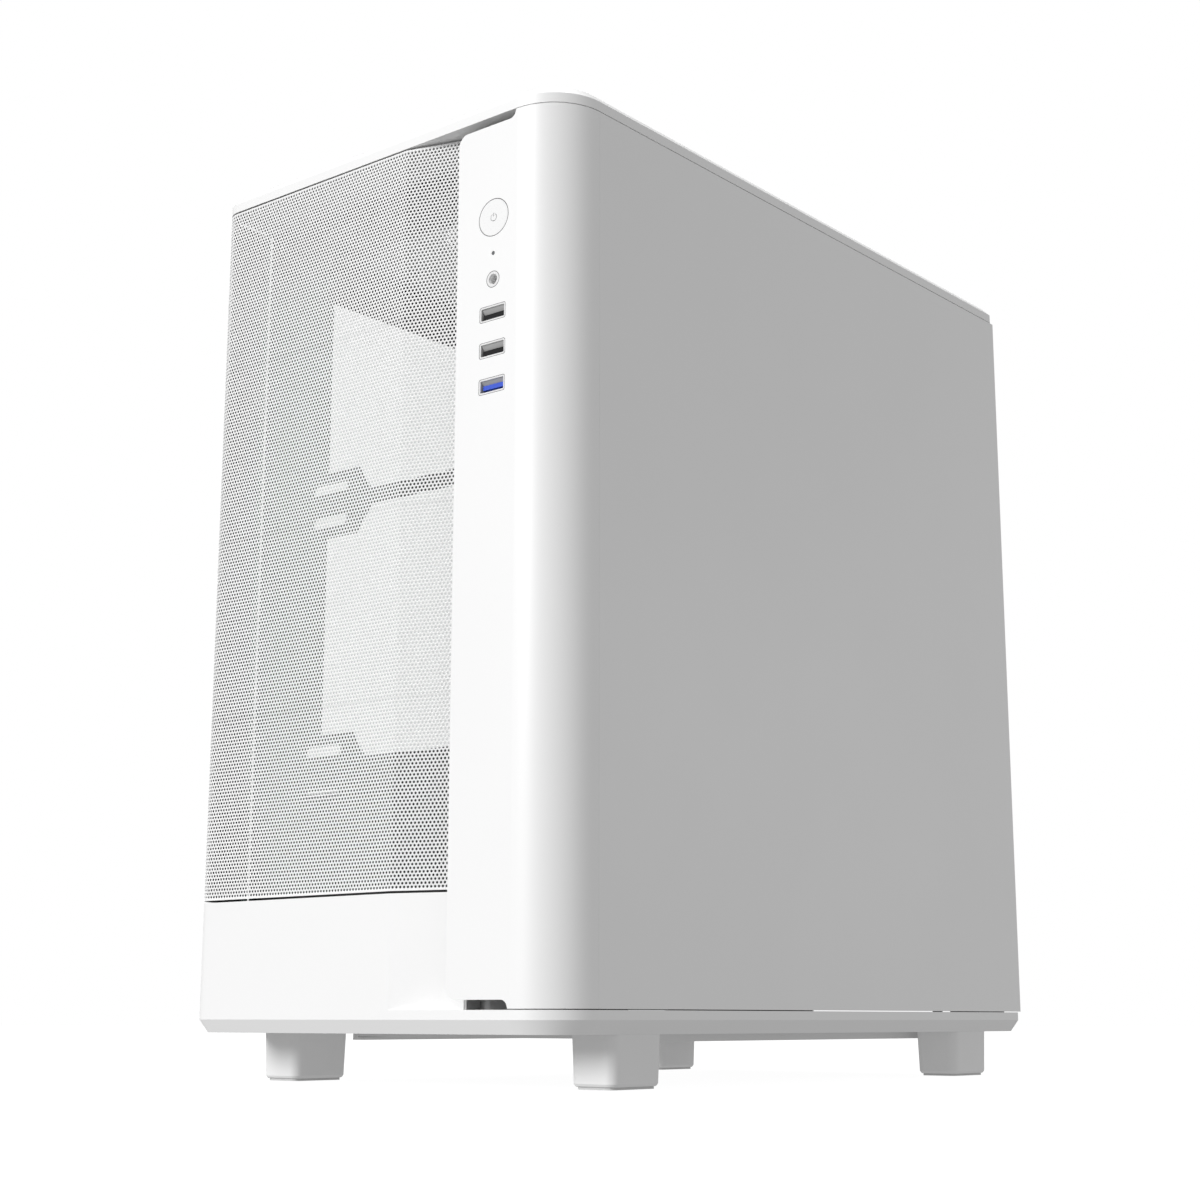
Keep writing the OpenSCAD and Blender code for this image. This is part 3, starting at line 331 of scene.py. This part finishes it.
def lens(name, color):
    s = Shader(name, color, 0.2)
    slow = s.noise(500, 2.0)
    s.vary(s.ramp(slow, 0.3, 0.7), shade(color, 0.8))
    s.roughness(slow, 0.14, 0.24)
    s.relief(slow, 0.003)
    return s.mat


def glass(name):
    """Clear tempered glass: seen straight through, glossy by angle, greenish at its edges."""
    mat = bpy.data.materials.new(name)
    mat.use_nodes = True
    nt = mat.node_tree
    nt.nodes.clear()
    out = nt.nodes.new("ShaderNodeOutputMaterial")
    clear = nt.nodes.new("ShaderNodeBsdfTransparent")
    clear.inputs["Color"].default_value = (0.862, 0.87, 0.867, 1)
    gloss = nt.nodes.new("ShaderNodeBsdfGlossy")
    gloss.inputs["Color"].default_value = (1, 1, 1, 1)
    smear = nt.nodes.new("ShaderNodeTexNoise")
    smear.inputs["Scale"].default_value = 14.0
    smear.inputs["Detail"].default_value = 5.0
    level = nt.nodes.new("ShaderNodeMapRange")
    for key, value in (("From Min", 0.3), ("From Max", 0.7), ("To Min", 0.01), ("To Max", 0.05)):
        level.inputs[key].default_value = value
    nt.links.new(smear.outputs["Fac"], level.inputs["Value"])
    nt.links.new(level.outputs[0], gloss.inputs["Roughness"])
    weight = nt.nodes.new("ShaderNodeLayerWeight")
    weight.inputs["Blend"].default_value = 0.5
    power = nt.nodes.new("ShaderNodeMath")
    power.operation = "POWER"
    power.inputs[1].default_value = 4.0
    nt.links.new(weight.outputs["Facing"], power.inputs[0])
    mirror = nt.nodes.new("ShaderNodeMapRange")
    mirror.inputs["To Min"].default_value = 0.03
    mirror.inputs["To Max"].default_value = 0.7
    nt.links.new(power.outputs[0], mirror.inputs["Value"])
    face = nt.nodes.new("ShaderNodeMixShader")
    nt.links.new(mirror.outputs[0], face.inputs["Fac"])
    nt.links.new(clear.outputs[0], face.inputs[1])
    nt.links.new(gloss.outputs[0], face.inputs[2])
    edge = nt.nodes.new("ShaderNodeBsdfPrincipled")
    edge.inputs["Base Color"].default_value = (0.1, 0.15, 0.135, 1)
    edge.inputs["Roughness"].default_value = 0.15
    normal = nt.nodes.new("ShaderNodeNewGeometry")
    split = nt.nodes.new("ShaderNodeSeparateXYZ")
    nt.links.new(normal.outputs["True Normal"], split.inputs[0])
    size = nt.nodes.new("ShaderNodeMath")
    size.operation = "ABSOLUTE"
    nt.links.new(split.outputs["X"], size.inputs[0])
    side = nt.nodes.new("ShaderNodeMath")
    side.operation = "LESS_THAN"
    side.inputs[1].default_value = 0.4
    nt.links.new(size.outputs[0], side.inputs[0])
    both = nt.nodes.new("ShaderNodeMixShader")
    nt.links.new(side.outputs[0], both.inputs["Fac"])
    nt.links.new(face.outputs[0], both.inputs[1])
    nt.links.new(edge.outputs[0], both.inputs[2])
    nt.links.new(both.outputs[0], out.inputs["Surface"])
    return mat


WHITE = (0.87, 0.87, 0.87)
MATERIALS = {
    "shell_white": paint("shell_white", WHITE),
    "panel_white": paint("panel_white", WHITE),
    "mesh_white": paint("mesh_white", WHITE, 0.5, 0.005),
    "chassis_white": paint("chassis_white", (0.82, 0.82, 0.82), 0.5, 0.02),
    # Painted shade: inner_grey makes the white chassis front wall behind the perforated sheet near black, so
    # the holes read as shade
    "inner_grey": paint("inner_grey", (0.045, 0.045, 0.045), 0.55, 0.02),
    # Painted shade: hook_grey makes the hooks and the strip behind the perforated sheet near black, so the
    # holes read as shade
    "hook_grey": moulded("hook_grey", (0.045, 0.045, 0.045), 0.55, 0.01),
    "carrier_grey": moulded("carrier_grey", (0.42, 0.42, 0.42), 0.5, 0.01),
    "clear_glass": glass("clear_glass"),
    "foot_white": moulded("foot_white", (0.88, 0.88, 0.88), 0.5, 0.012),
    "pad_rubber": rubber("pad_rubber", (0.62, 0.62, 0.62)),
    "inner_plastic": moulded("inner_plastic", (0.8, 0.8, 0.8)),
    "filter_mesh": moulded("filter_mesh", (0.78, 0.78, 0.78), 0.6, 0.02),
    "button_white": moulded("button_white", (0.88, 0.88, 0.88), 0.3, 0.004),
    "screw_steel": plated("screw_steel", (0.62, 0.62, 0.63), 0.3, (900, 900, 900)),
    "black_plastic": moulded("black_plastic", (0.01, 0.01, 0.011), 0.5, 0.008, specular=0.15),
    "blue_plastic": moulded("blue_plastic", (0.03, 0.09, 0.62), 0.35, 0.004),
    "lens": lens("lens", (0.16, 0.165, 0.17)),
    # mark_grey: print of the standby mark, and painted shade in the gap round the button
    "mark_grey": moulded("mark_grey", (0.07, 0.07, 0.073), 0.5, 0.002),
    # Painted shade: line_grey is the dark of the rings for the shadow in the gaps round the sockets and the
    # jack
    "line_grey": moulded("line_grey", (0.13, 0.13, 0.134), 0.5, 0.002),
    "leaf_metal": moulded("leaf_metal", (0.5, 0.5, 0.5), 0.35, 0.004),
    "jack_plastic": moulded("jack_plastic", (0.8, 0.8, 0.8), 0.3, 0.004),
    "socket_steel": plated("socket_steel", (0.66, 0.66, 0.67), 0.3, (600, 80, 600)),
    "socket_lining": moulded("socket_lining", (0.5, 0.5, 0.5), 0.35, 0.004),
    "circuit_board": board("circuit_board", (0.02, 0.024, 0.028)),
    "cable_black": woven("cable_black", (0.018, 0.018, 0.02)),
    "brass": plated("brass", (0.72, 0.53, 0.25), 0.3, (700, 700, 700)),
    "heatsink": plated("heatsink", (0.75, 0.75, 0.76), 0.32, (40, 900, 900)),
    "fan_frame": moulded("fan_frame", (0.8, 0.8, 0.8), 0.5),
    "fan_blades": moulded("fan_blades", (0.82, 0.82, 0.82), 0.4, 0.006),
    "memory_white": paint("memory_white", (0.8, 0.8, 0.8), 0.35, 0.008),
    "psu_grey": paint("psu_grey", (0.03, 0.03, 0.032), 0.55, 0.03),
    "drive_metal": plated("drive_metal", (0.55, 0.56, 0.57), 0.42, (300, 300, 300)),
    "drive_dark": moulded("drive_dark", (0.03, 0.03, 0.034), 0.5),
}


def carry_over():
    """Gives every CAD node its slot's material."""
    for name, obj in nodes.items():
        mat = MATERIALS[SLOT_OF[name]]
        if obj.material_slots:
            for s in obj.material_slots:
                s.material = mat
        else:
            obj.data.materials.append(mat)


# ---------------------------------------------------------------- perforated front sheet
MESH_T = 0.14 * MM
PITCH = 1.74 * MM
HOLE_R = 0.58 * MM
SIDES = 6
# Radius of the left corner, and the place and angle of the bend
CORNER_R = 10.0 * MM
BEND_X = 16.4 * MM
BEND = math.radians(17)
# Gaps below and above the sheet, and the width of its plain edge
LOW_GAP = 0.15 * MM
HIGH_GAP = 0.45 * MM
PLAIN_EDGE = 0.25 * MM
# Painted shade: a near-black strip behind the sheet's left return, so that its holes read dark
SHADE_STRIP_START = 0.6 * MM
SHADE_STRIP_DEPTH = 1.1 * MM
SHADE_STRIP_T = 0.3 * MM
# Number of pieces that the perforated sheet is written as
BANDS = 4


def front_path():
    """Plan of the front sheet's outer face, from the left return to the slanted end, as one run of length."""
    low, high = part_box("front_mesh")
    radius = CORNER_R
    bend = Vector((BEND_X, low[1]))
    end = Vector((high[0], low[1] + (high[0] - bend.x) * math.tan(BEND)))
    back_y = high[1]
    straight = back_y - (low[1] + radius)
    arc = radius * math.pi / 2
    flat = bend.x - (low[0] + radius)
    slant = (end - bend).length
    stops = np.array([0, straight, straight + arc, straight + arc + flat, straight + arc + flat + slant])

    def at(u, depth):
        x, y = np.empty_like(u), np.empty_like(u)
        k = u < stops[1]
        x[k], y[k] = low[0] + depth[k], back_y - u[k]
        k = (u >= stops[1]) & (u < stops[2])
        a = (u[k] - stops[1]) / radius
        x[k] = low[0] + radius - (radius - depth[k]) * np.cos(a)
        y[k] = low[1] + radius - (radius - depth[k]) * np.sin(a)
        k = (u >= stops[2]) & (u < stops[3])
        x[k], y[k] = low[0] + radius + u[k] - stops[2], low[1] + depth[k]
        k = u >= stops[3]
        x[k] = bend.x + (u[k] - stops[3]) * math.cos(BEND) - depth[k] * math.sin(BEND)
        y[k] = low[1] + (u[k] - stops[3]) * math.sin(BEND) + depth[k] * math.cos(BEND)
        return x, y

    return at, stops, low[2], high[2]


def perforated(at, length, low, high, pitch, radius, thick, margin, sides, pieces):
    """A sheet with holes on a staggered grid, as face index arrays for each of several bands of rows."""
    row = pitch * math.sqrt(3) / 2
    cols = int(length / pitch) + 4
    rows = int((high - low) / row) + 4
    j, i = np.meshgrid(np.arange(rows), np.arange(cols), indexing="ij")
    cu = (i - 1.5 + 0.5 * (j % 2)) * pitch + (length - (cols - 4) * pitch) / 2
    cv = low + (high - low - (rows - 4) * row) / 2 + (j - 1.5) * row
    turn = math.pi / sides
    a = turn + 2 * np.pi * np.arange(sides) / sides
    hu = (cu[..., None] + radius * np.cos(a)).ravel()
    hv = (cv[..., None] + radius * np.sin(a)).ravel()
    real = (cu > margin) & (cu < length - margin) & (cv > low + margin) & (cv < high - margin)
    hu, hv = np.clip(hu, 0, length), np.clip(hv, low, high)
    count = len(hu)

    def corner(jj, ii, k):
        return (jj * cols + ii) * sides + (k % sides)

    # The two corners of the hole's side that faces its neighbour at 60 degrees times m
    per = sides // 6

    def first(m):
        return (m * per - 1) % sides

    def second(m):
        return (m * per) % sides

    bands = [[] for _ in range(pieces)]
    for jj in range(rows):
        band = bands[min(pieces - 1, jj * pieces // rows)]
        ii = np.arange(cols)
        here = real[jj]
        if (~here).any():
            g = ii[~here]
            band.append(("cap", np.stack([corner(jj, g, k) for k in range(sides)], 1)))
        if here.any():
            g = ii[here]
            for k in range(sides):
                band.append(("wall", np.stack([corner(jj, g, k), corner(jj, g, k + 1)], 1)))
        g = ii[:-1]
        band.append(("cap", np.stack([
            corner(jj, g, first(0)), corner(jj, g + 1, second(3)),
            corner(jj, g + 1, first(3)), corner(jj, g, second(0))], 1)))
        if jj + 1 == rows:
            continue
        s = jj % 2
        g = ii[1:-1]
        right, left = g + s, g + s - 1
        for m, other in ((1, right), (2, left)):
            band.append(("cap", np.stack([
                corner(jj, g, first(m)), corner(jj + 1, other, second(m + 3)),
                corner(jj + 1, other, first(m + 3)), corner(jj, g, second(m))], 1)))
        up = [corner(jj, g, second(1)), corner(jj + 1, right, first(4)), corner(jj + 1, right, second(3)),
              corner(jj + 1, left, first(0)), corner(jj + 1, left, second(5)), corner(jj, g, first(2))]
        down = [corner(jj, g, second(0)), corner(jj, g + 1, first(3)), corner(jj, g + 1, second(2)),
                corner(jj + 1, right, first(5)), corner(jj + 1, right, second(4)), corner(jj, g, first(1))]
        for ring in (up, down):
            keep = [ring[k] for k in range(6) if per > 1 or k % 2 == 0]
            band.append(("cap", np.stack(keep, 1)))

    zero, deep = np.zeros(count), np.full(count, thick)
    fx, fy = at(hu, zero)
    bx, by = at(hu, deep)
    points = np.concatenate([np.stack([fx, fy, hv], 1), np.stack([bx, by, hv], 1)])
    flat = np.stack([hu, hv], 1)
    result = []
    for band in bands:
        faces = []
        for kind, f in band:
            if kind == "wall":
                faces.append(np.stack([f[:, 0], f[:, 1], f[:, 1] + count, f[:, 0] + count], 1))
                continue
            p = flat[f]
            q = np.roll(p, -1, axis=1)
            area = np.abs((p[..., 0] * q[..., 1] - q[..., 0] * p[..., 1]).sum(1)) / 2
            f = f[area > (0.02 * MM) ** 2]
            if len(f):
                faces.append(f)
                faces.append(f[:, ::-1] + count)
        result.append(faces)
    return points, result


def strip(at, us, low, high, thick, deep=0.0):
    """A closed thin strip that follows the path between two heights, at a depth behind its outer face."""
    us = np.asarray(us)
    fx, fy = at(us, np.full(len(us), deep))
    bx, by = at(us, np.full(len(us), deep + thick))
    bm = bmesh.new()
    loops = []
    for k in range(len(us)):
        loops.append([bm.verts.new(p) for p in (
            (fx[k], fy[k], low), (fx[k], fy[k], high), (bx[k], by[k], high), (bx[k], by[k], low))])
    for a, b in zip(loops, loops[1:]):
        for k in range(4):
            bm.faces.new((a[k], b[k], b[(k + 1) % 4], a[(k + 1) % 4]))
    bm.faces.new(loops[0])
    bm.faces.new(loops[-1][::-1])
    return bm


def make_front_sheet():
    at, stops, low, high = front_path()
    length = stops[-1]
    low, high = low + LOW_GAP, high - HIGH_GAP
    inner_low, inner_high = low + PLAIN_EDGE, high - PLAIN_EDGE
    margin = HOLE_R + 0.15 * MM
    points, bands = perforated(at, length, inner_low, inner_high, PITCH, HOLE_R, MESH_T, margin, SIDES, BANDS)
    for k, faces in enumerate(bands):
        sheet = add_arrays("front_sheet_%d" % (k + 1), points, faces)
        if k == 0:
            put(sheet, "front_panel", "mesh_white", "front_mesh")
        else:
            put(sheet, "front_panel", "mesh_white")
    arc = np.linspace(stops[1], stops[2], 17)
    us = np.concatenate([[0], arc, [stops[3], length]])
    for side, a, b in (("lower", low, inner_low), ("upper", inner_high, high)):
        put(add_mesh("front_sheet_%s_edge" % side, strip(at, us, a, b, MESH_T)), "front_panel", "mesh_white")
    # Painted shade: the near-black strip behind the left return and corner
    around = np.concatenate([[SHADE_STRIP_START], arc])
    lining = strip(at, around, inner_low, inner_high, SHADE_STRIP_T, SHADE_STRIP_DEPTH)
    put(add_mesh("front_return_shade_strip", lining), "front_panel", "hook_grey")
    for side, a, b in (("left", 0, PLAIN_EDGE), ("right", length - PLAIN_EDGE, length)):
        edge = strip(at, [a, b], inner_low, inner_high, MESH_T)
        put(add_mesh("front_sheet_%s_edge" % side, edge), "front_panel", "mesh_white")


# ---------------------------------------------------------------- sockets and button
def ring_outline(w, h, r, n=5):
    """Rounded rectangle in X and Z, centred, as a list of points."""
    points = []
    for cx, cz, start in ((1, 1, 0), (-1, 1, 90), (-1, -1, 180), (1, -1, 270)):
        for k in range(n + 1):
            a = math.radians(start + 90 * k / n)
            points.append((cx * (w / 2 - r) + r * math.cos(a), cz * (h / 2 - r) + r * math.sin(a)))
    return points


def lofted(outlines):
    """Joins outlines of equal length, each given with its depth, into a closed ring of faces."""
    bm = bmesh.new()
    loops = [[bm.verts.new((x, y, z)) for x, z in pts] for pts, y in outlines]
    n = len(loops[0])
    for a, b in zip(loops, loops[1:] + loops[:1]):
        for k in range(n):
            bm.faces.new((a[k], a[(k + 1) % n], b[(k + 1) % n], b[k]))
    bmesh.ops.recalc_face_normals(bm, faces=bm.faces)
    return bm


def move(bm, x, y, z):
    bmesh.ops.translate(bm, verts=bm.verts, vec=(x, y, z))
    return bm


def add_block(bm, low, high, bevel=0.0):
    low, high = Vector(low), Vector(high)
    made = bmesh.ops.create_cube(bm, size=1.0)["verts"]
    for v in made:
        v.co = Vector([(low[i] + high[i]) / 2 + v.co[i] * (high[i] - low[i]) for i in range(3)])
    if bevel:
        edges = list({e for v in made for e in v.link_edges})
        bmesh.ops.bevel(bm, geom=edges, offset=bevel, segments=2, affect="EDGES", profile=0.5)


SHELL_WALL = 0.8 * MM
RIM_DEPTH = 0.45 * MM
RIM_CHAMFER = 0.14 * MM
JACK_R = 3.5 * MM


def socket_rim(w, h):
    """Light rim round a socket's opening, chamfered inside and out."""
    in_w, in_h = w - 2 * SHELL_WALL, h - 2 * SHELL_WALL
    ease = 0.3 * MM
    return lofted([
        (ring_outline(w, h, 1.0 * MM), RIM_CHAMFER),
        (ring_outline(w - ease, h - ease, 0.9 * MM), 0.0),
        (ring_outline(in_w + ease, in_h + ease, 0.45 * MM), 0.0),
        (ring_outline(in_w, in_h, 0.3 * MM), RIM_CHAMFER),
        (ring_outline(in_w, in_h, 0.3 * MM), RIM_DEPTH),
        (ring_outline(w, h, 1.0 * MM), RIM_DEPTH)])


def socket_lining(w, h, depth):
    """The shell behind the rim."""
    in_w, in_h = w - 2 * SHELL_WALL, h - 2 * SHELL_WALL
    return lofted([
        (ring_outline(w, h, 1.0 * MM), RIM_DEPTH),
        (ring_outline(in_w, in_h, 0.3 * MM), RIM_DEPTH),
        (ring_outline(in_w, in_h, 0.3 * MM), depth),
        (ring_outline(w, h, 1.0 * MM), depth)])


def socket_shade_ring(w, h):
    """Painted shade: a thin dark ring round the rim, for the shadow in the gap round the socket."""
    return lofted([(ring_outline(w + g, h + g, 1.0 * MM + g / 2), d) for g, d in (
        (-0.16 * MM, 0.02 * MM), (0.2 * MM, 0.02 * MM), (0.2 * MM, 0.12 * MM), (-0.16 * MM, 0.12 * MM))])


def socket_leaf(cx, front, half, top, foot):
    """Sloping spring leaf in the upper part of a socket."""
    bm = bmesh.new()
    profile = ((0.5 * MM, top), (2.2 * MM, foot), (2.4 * MM, foot), (2.4 * MM, top))
    leaf = [bm.verts.new((cx + x, front + y, z)) for x in (-half, half) for y, z in profile]
    for ring in ((0, 1, 5, 4), (1, 2, 6, 5), (2, 3, 7, 6), (3, 0, 4, 7), (0, 3, 2, 1), (4, 5, 6, 7)):
        bm.faces.new([leaf[i] for i in ring])
    bmesh.ops.recalc_face_normals(bm, faces=bm.faces)
    return bm


def make_sockets():
    for k, name in enumerate(("usb_upper_shell", "usb_middle_shell", "usb_lower_shell")):
        older = k < 2
        low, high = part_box(name)
        cx, cz = (low[0] + high[0]) / 2, (low[2] + high[2]) / 2
        w, h = high[0] - low[0], high[2] - low[2]
        front, back = low[1], high[1]
        base = low[2] + SHELL_WALL

        def add(part, bm, slot, *replaced):
            put(add_mesh(name.replace("shell", part), bm), "case", slot, *replaced)

        add("rim", move(socket_rim(w, h), cx, front, cz), "jack_plastic")
        add("lining", move(socket_lining(w, h, back - front), cx, front, cz), "socket_lining", name)
        # Painted shade: the dark ring round each socket's rim
        add("gasket", move(socket_shade_ring(w, h), cx, front, cz), "line_grey")
        clear = 0.02 * MM
        half, top = w / 2 - SHELL_WALL - clear, high[2] - SHELL_WALL - clear
        foot = base + (2.75 if older else 3.35) * MM
        add("leaf", socket_leaf(cx, front, half, top, foot), "leaf_metal")
        if older:
            tip = bmesh.new()
            add_block(tip, (cx - half + 0.6 * MM, front + 1.0 * MM, base + 0.1 * MM),
                      (cx + half - clear, front + 1.19 * MM, base + 2.6 * MM))
            add("tongue_tip", tip, "black_plastic")
        tongue_z = base + (2.2 if older else 3.2) * MM
        contacts = bmesh.new()
        for i in range(4):
            x = cx + (i - 1.5) * 2.5 * MM
            add_block(contacts, (x - 0.45 * MM, front + 1.6 * MM, tongue_z - 0.03 * MM),
                      (x + 0.45 * MM, front + 9 * MM, tongue_z + 0.04 * MM))
        add("contacts", contacts, "brass")


def make_jack_shade_ring():
    # Painted shade: a thin dark ring round the audio jack, for the shadow in the gap round it
    low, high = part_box("audio_jack")
    inner, outer, near, deep = JACK_R - 0.18 * MM, JACK_R + 0.1 * MM, -0.02 * MM, 0.3 * MM
    ring = lofted([(ring_outline(2 * a, 2 * a, a, 12), d) for a, d in (
        (inner, near), (outer, near), (outer, deep), (inner, deep))])
    move(ring, (low[0] + high[0]) / 2, low[1], (low[2] + high[2]) / 2)
    put(add_mesh("audio_jack_shade_ring", ring), "case", "line_grey")


def make_power_mark():
    """Painted shade: a dark ring in the gap round the button; and the standby mark sunk in the button."""
    low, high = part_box("power_button")
    cx, cz = (low[0] + high[0]) / 2, (low[2] + high[2]) / 2
    button_r = (high[0] - low[0]) / 2
    inner, outer, back = button_r + 0.03 * MM, button_r + 0.34 * MM, 0.9 * MM
    # Painted shade: the dark ring in the gap round the button
    gap_shade = lofted([(ring_outline(2 * a, 2 * a, a, 24), d) for a, d in (
        (inner, 0.06 * MM), (outer, -0.01 * MM), (outer, back), (inner, back))])
    put(add_mesh("button_gap_shade", move(gap_shade, cx, low[1], cz)), "case", "mark_grey")
    bm = bmesh.new()
    deep, near = low[1] + 0.15 * MM, low[1] + 0.07 * MM
    gap, steps, loops = math.radians(38), 40, []
    outer, inner = 1.62 * MM, 1.32 * MM
    for k in range(steps + 1):
        a = math.pi / 2 + gap + (2 * math.pi - 2 * gap) * k / steps
        loops.append([bm.verts.new((cx + r * math.cos(a), y, cz + r * math.sin(a)))
                      for r, y in ((outer, near), (inner, near), (inner, deep), (outer, deep))])
    for a, b in zip(loops, loops[1:]):
        for k in range(4):
            bm.faces.new((a[k], b[k], b[(k + 1) % 4], a[(k + 1) % 4]))
    bm.faces.new(loops[0])
    bm.faces.new(loops[-1][::-1])
    bar = 0.16 * MM
    add_block(bm, (cx - bar, near, cz + 0.5 * MM), (cx + bar, deep, cz + 2.3 * MM))
    put(add_mesh("standby_mark", bm), "power_button", "mark_grey")


# ---------------------------------------------------------------- screws
def make_thumbscrews():
    low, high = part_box("panel_thumbscrews")
    x = (low[0] + high[0]) / 2
    head = 3.6 * MM
    for name, z in (("lower", low[2] + head), ("upper", high[2] - head)):
        bm = bmesh.new()
        teeth, loops = 36, []
        top = high[1]
        # Depth under the head's face, radius and depth of the knurl's grooves
        for drop, r, groove in ((5.4, 3.3, 0.0), (5.1, 3.6, 0.16), (0.7, 3.6, 0.16),
                                (0.1, 3.05, 0.0), (0.1, 2.4, 0.0), (0.9, 2.2, 0.0)):
            y = top - drop * MM
            loop = []
            for k in range(2 * teeth):
                a = math.pi * k / teeth
                rr = (r - (groove if k % 2 else 0.0)) * MM
                loop.append(bm.verts.new((x + rr * math.cos(a), y, z + rr * math.sin(a))))
            loops.append(loop)
        n = 2 * teeth
        for a, b in zip(loops, loops[1:]):
            for k in range(n):
                bm.faces.new((a[k], a[(k + 1) % n], b[(k + 1) % n], b[k]))
        bm.faces.new(loops[0])
        bm.faces.new(loops[-1])
        for turn in (0, 90):
            a, b = ((1.6, 0.3) if turn else (0.3, 1.6))
            add_block(bm, (x - a * MM, top - 0.95 * MM, z - b * MM),
                      (x + a * MM, top - 0.75 * MM, z + b * MM))
        shank_r = 1.7 * MM
        shank = bmesh.ops.create_cone(
            bm, cap_ends=True, segments=24, radius1=shank_r, radius2=shank_r, depth=7.3 * MM)["verts"]
        bmesh.ops.rotate(bm, verts=shank, cent=(0, 0, 0), matrix=Matrix.Rotation(math.pi / 2, 3, "X"))
        bmesh.ops.translate(bm, verts=shank, vec=(x, low[1] + 3.65 * MM, z))
        bmesh.ops.recalc_face_normals(bm, faces=bm.faces)
        obj = add_mesh("thumbscrew_" + name, bm)
        if name == "lower":
            put(obj, "side_panel", "screw_steel", "panel_thumbscrews")
        else:
            put(obj, "side_panel", "screw_steel")


# ---------------------------------------------------------------- filters
def make_filter(name, body, rim, ribs, pitch, radius):
    """A moulded rim with ribs over a finely perforated sheet."""
    low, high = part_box(name)
    t = high[2] - low[2]
    bm = bmesh.new()
    x0, y0, x1, y1 = low[0], low[1], high[0], high[1]
    for a, b in (((x0, y0), (x1, y0 + rim)), ((x0, y1 - rim), (x1, y1)),
                 ((x0, y0 + rim), (x0 + rim, y1 - rim)), ((x1 - rim, y0 + rim), (x1, y1 - rim))):
        add_block(bm, (*a, low[2]), (*b, high[2]))
    inner = high[1] - low[1] - 2 * rim
    for k in range(1, ribs + 1):
        y = low[1] + rim + k * inner / (ribs + 1)
        add_block(bm, (low[0] + rim, y - MM, low[2]), (high[0] - rim, y + MM, high[2] - 0.2 * MM))
    add_block(bm, (-MM, low[1] + rim, low[2]), (MM, high[1] - rim, high[2] - 0.2 * MM))
    put(add_mesh(name + "_rim", bm), body, "filter_mesh", name)
    width, length = high[0] - low[0] - 2 * rim, inner

    def flat(u, depth):
        return u, depth
    points, bands = perforated(flat, width, 0, length, pitch, radius, 0.15 * MM, radius + 0.3 * MM, 6, 1)
    z = low[2] + t * 0.55
    turned = np.stack([low[0] + rim + points[:, 0], low[1] + rim + points[:, 2], z - points[:, 1]], 1)
    put(add_arrays(name + "_weave", turned, bands[0]), body, "filter_mesh")


# ---------------------------------------------------------------- motherboard parts
def make_board_parts():
    low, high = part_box("motherboard")
    face = high[0] - 1.6 * MM
    rng = np.random.default_rng(7)
    chips = bmesh.new()
    small = bmesh.new()
    y0, y1, z0, z1 = low[1], high[1], low[2], high[2]

    def free(y, z):
        keep_out = [
            (y1 - 125 * MM, y1 - 25 * MM, z0 + 6 * MM, z0 + 60 * MM),
            (y0 + 48 * MM, y0 + 72 * MM, z0 + 92 * MM, z1 - 2 * MM),
            (y0, y0 + 16 * MM, z0 + 20 * MM, z0 + 155 * MM),
            (y0 + 28 * MM, y0 + 72 * MM, z0 + 18 * MM, z0 + 62 * MM),
            (y1 - 62 * MM, y1, z0 + 90 * MM, z1),
            (y1 - 125 * MM, y1 - 60 * MM, z1 - 100 * MM, z1 - 40 * MM),
            (y1 - 130 * MM, y1 - 62 * MM, z1 - 20 * MM, z1)]
        return all(not (a < y < b and c < z < d) for a, b, c, d in keep_out)
    made = 0
    while made < 260:
        y, z = rng.uniform(y0 + 5 * MM, y1 - 6 * MM), rng.uniform(z0 + 5 * MM, z1 - 5 * MM)
        if not free(y, z):
            continue
        w, h = rng.choice([0.6, 0.8, 1.2]) * MM, rng.choice([0.6, 1.0, 1.6]) * MM
        add_block(small, (face - 0.5 * MM, y - w, z - h), (face + 0.05 * MM, y + w, z + h))
        made += 1
    for y, z, w, h in ((36, 78, 5, 5), (90, 66, 4, 6), (118, 30, 7, 7), (70, 80, 3.5, 3.5),
                       (150, 72, 4, 4), (30, 170, 4, 5), (95, 200, 3, 5)):
        add_block(chips, (face - 1.3 * MM, y0 + (y - w) * MM, z0 + (z - h) * MM),
                  (face + 0.05 * MM, y0 + (y + w) * MM, z0 + (z + h) * MM), 0.15 * MM)
    cans = bmesh.new()
    can_r, can_h = 3 * MM, 7 * MM
    for y, z in ((82, 76), (90, 84), (98, 76), (24, 112), (24, 122),
                 (140, 84), (148, 88), (82, 20), (90, 12)):
        ring = bmesh.ops.create_cone(
            cans, cap_ends=True, segments=20, radius1=can_r, radius2=can_r, depth=can_h)["verts"]
        bmesh.ops.rotate(cans, verts=ring, cent=(0, 0, 0), matrix=Matrix.Rotation(math.pi / 2, 3, "Y"))
        bmesh.ops.translate(cans, verts=ring, vec=(face - can_h / 2, y0 + y * MM, z0 + z * MM))
    put(add_mesh("board_small_parts", small), "case", "drive_metal")
    put(add_mesh("board_chips", chips), "case", "drive_dark")
    put(add_mesh("board_capacitors", cans), "case", "socket_steel")


# ---------------------------------------------------------------- build
make_camera()
make_world(0.425)
make_sun("key", (-0.15, -0.63, 0.25), 0.735, 25)
make_sun("top", (0.05, 0.05, 1.0), 0.6, 20)
make_area("rear_side", (0.75, 0.75, 0.25), (0.105, 0.2, 0.2), 0.4, 0.34)
make_floor()
carry_over()
make_front_sheet()
make_sockets()
make_jack_shade_ring()
make_power_mark()
make_thumbscrews()
make_filter("top_filter", "upper_filter", 6 * MM, 3, 2.4 * MM, 0.8 * MM)
make_filter("bottom_filter", "lower_filter", 6 * MM, 4, 2.4 * MM, 0.8 * MM)
make_board_parts()
bpy.context.scene.view_settings.view_transform = "Standard"
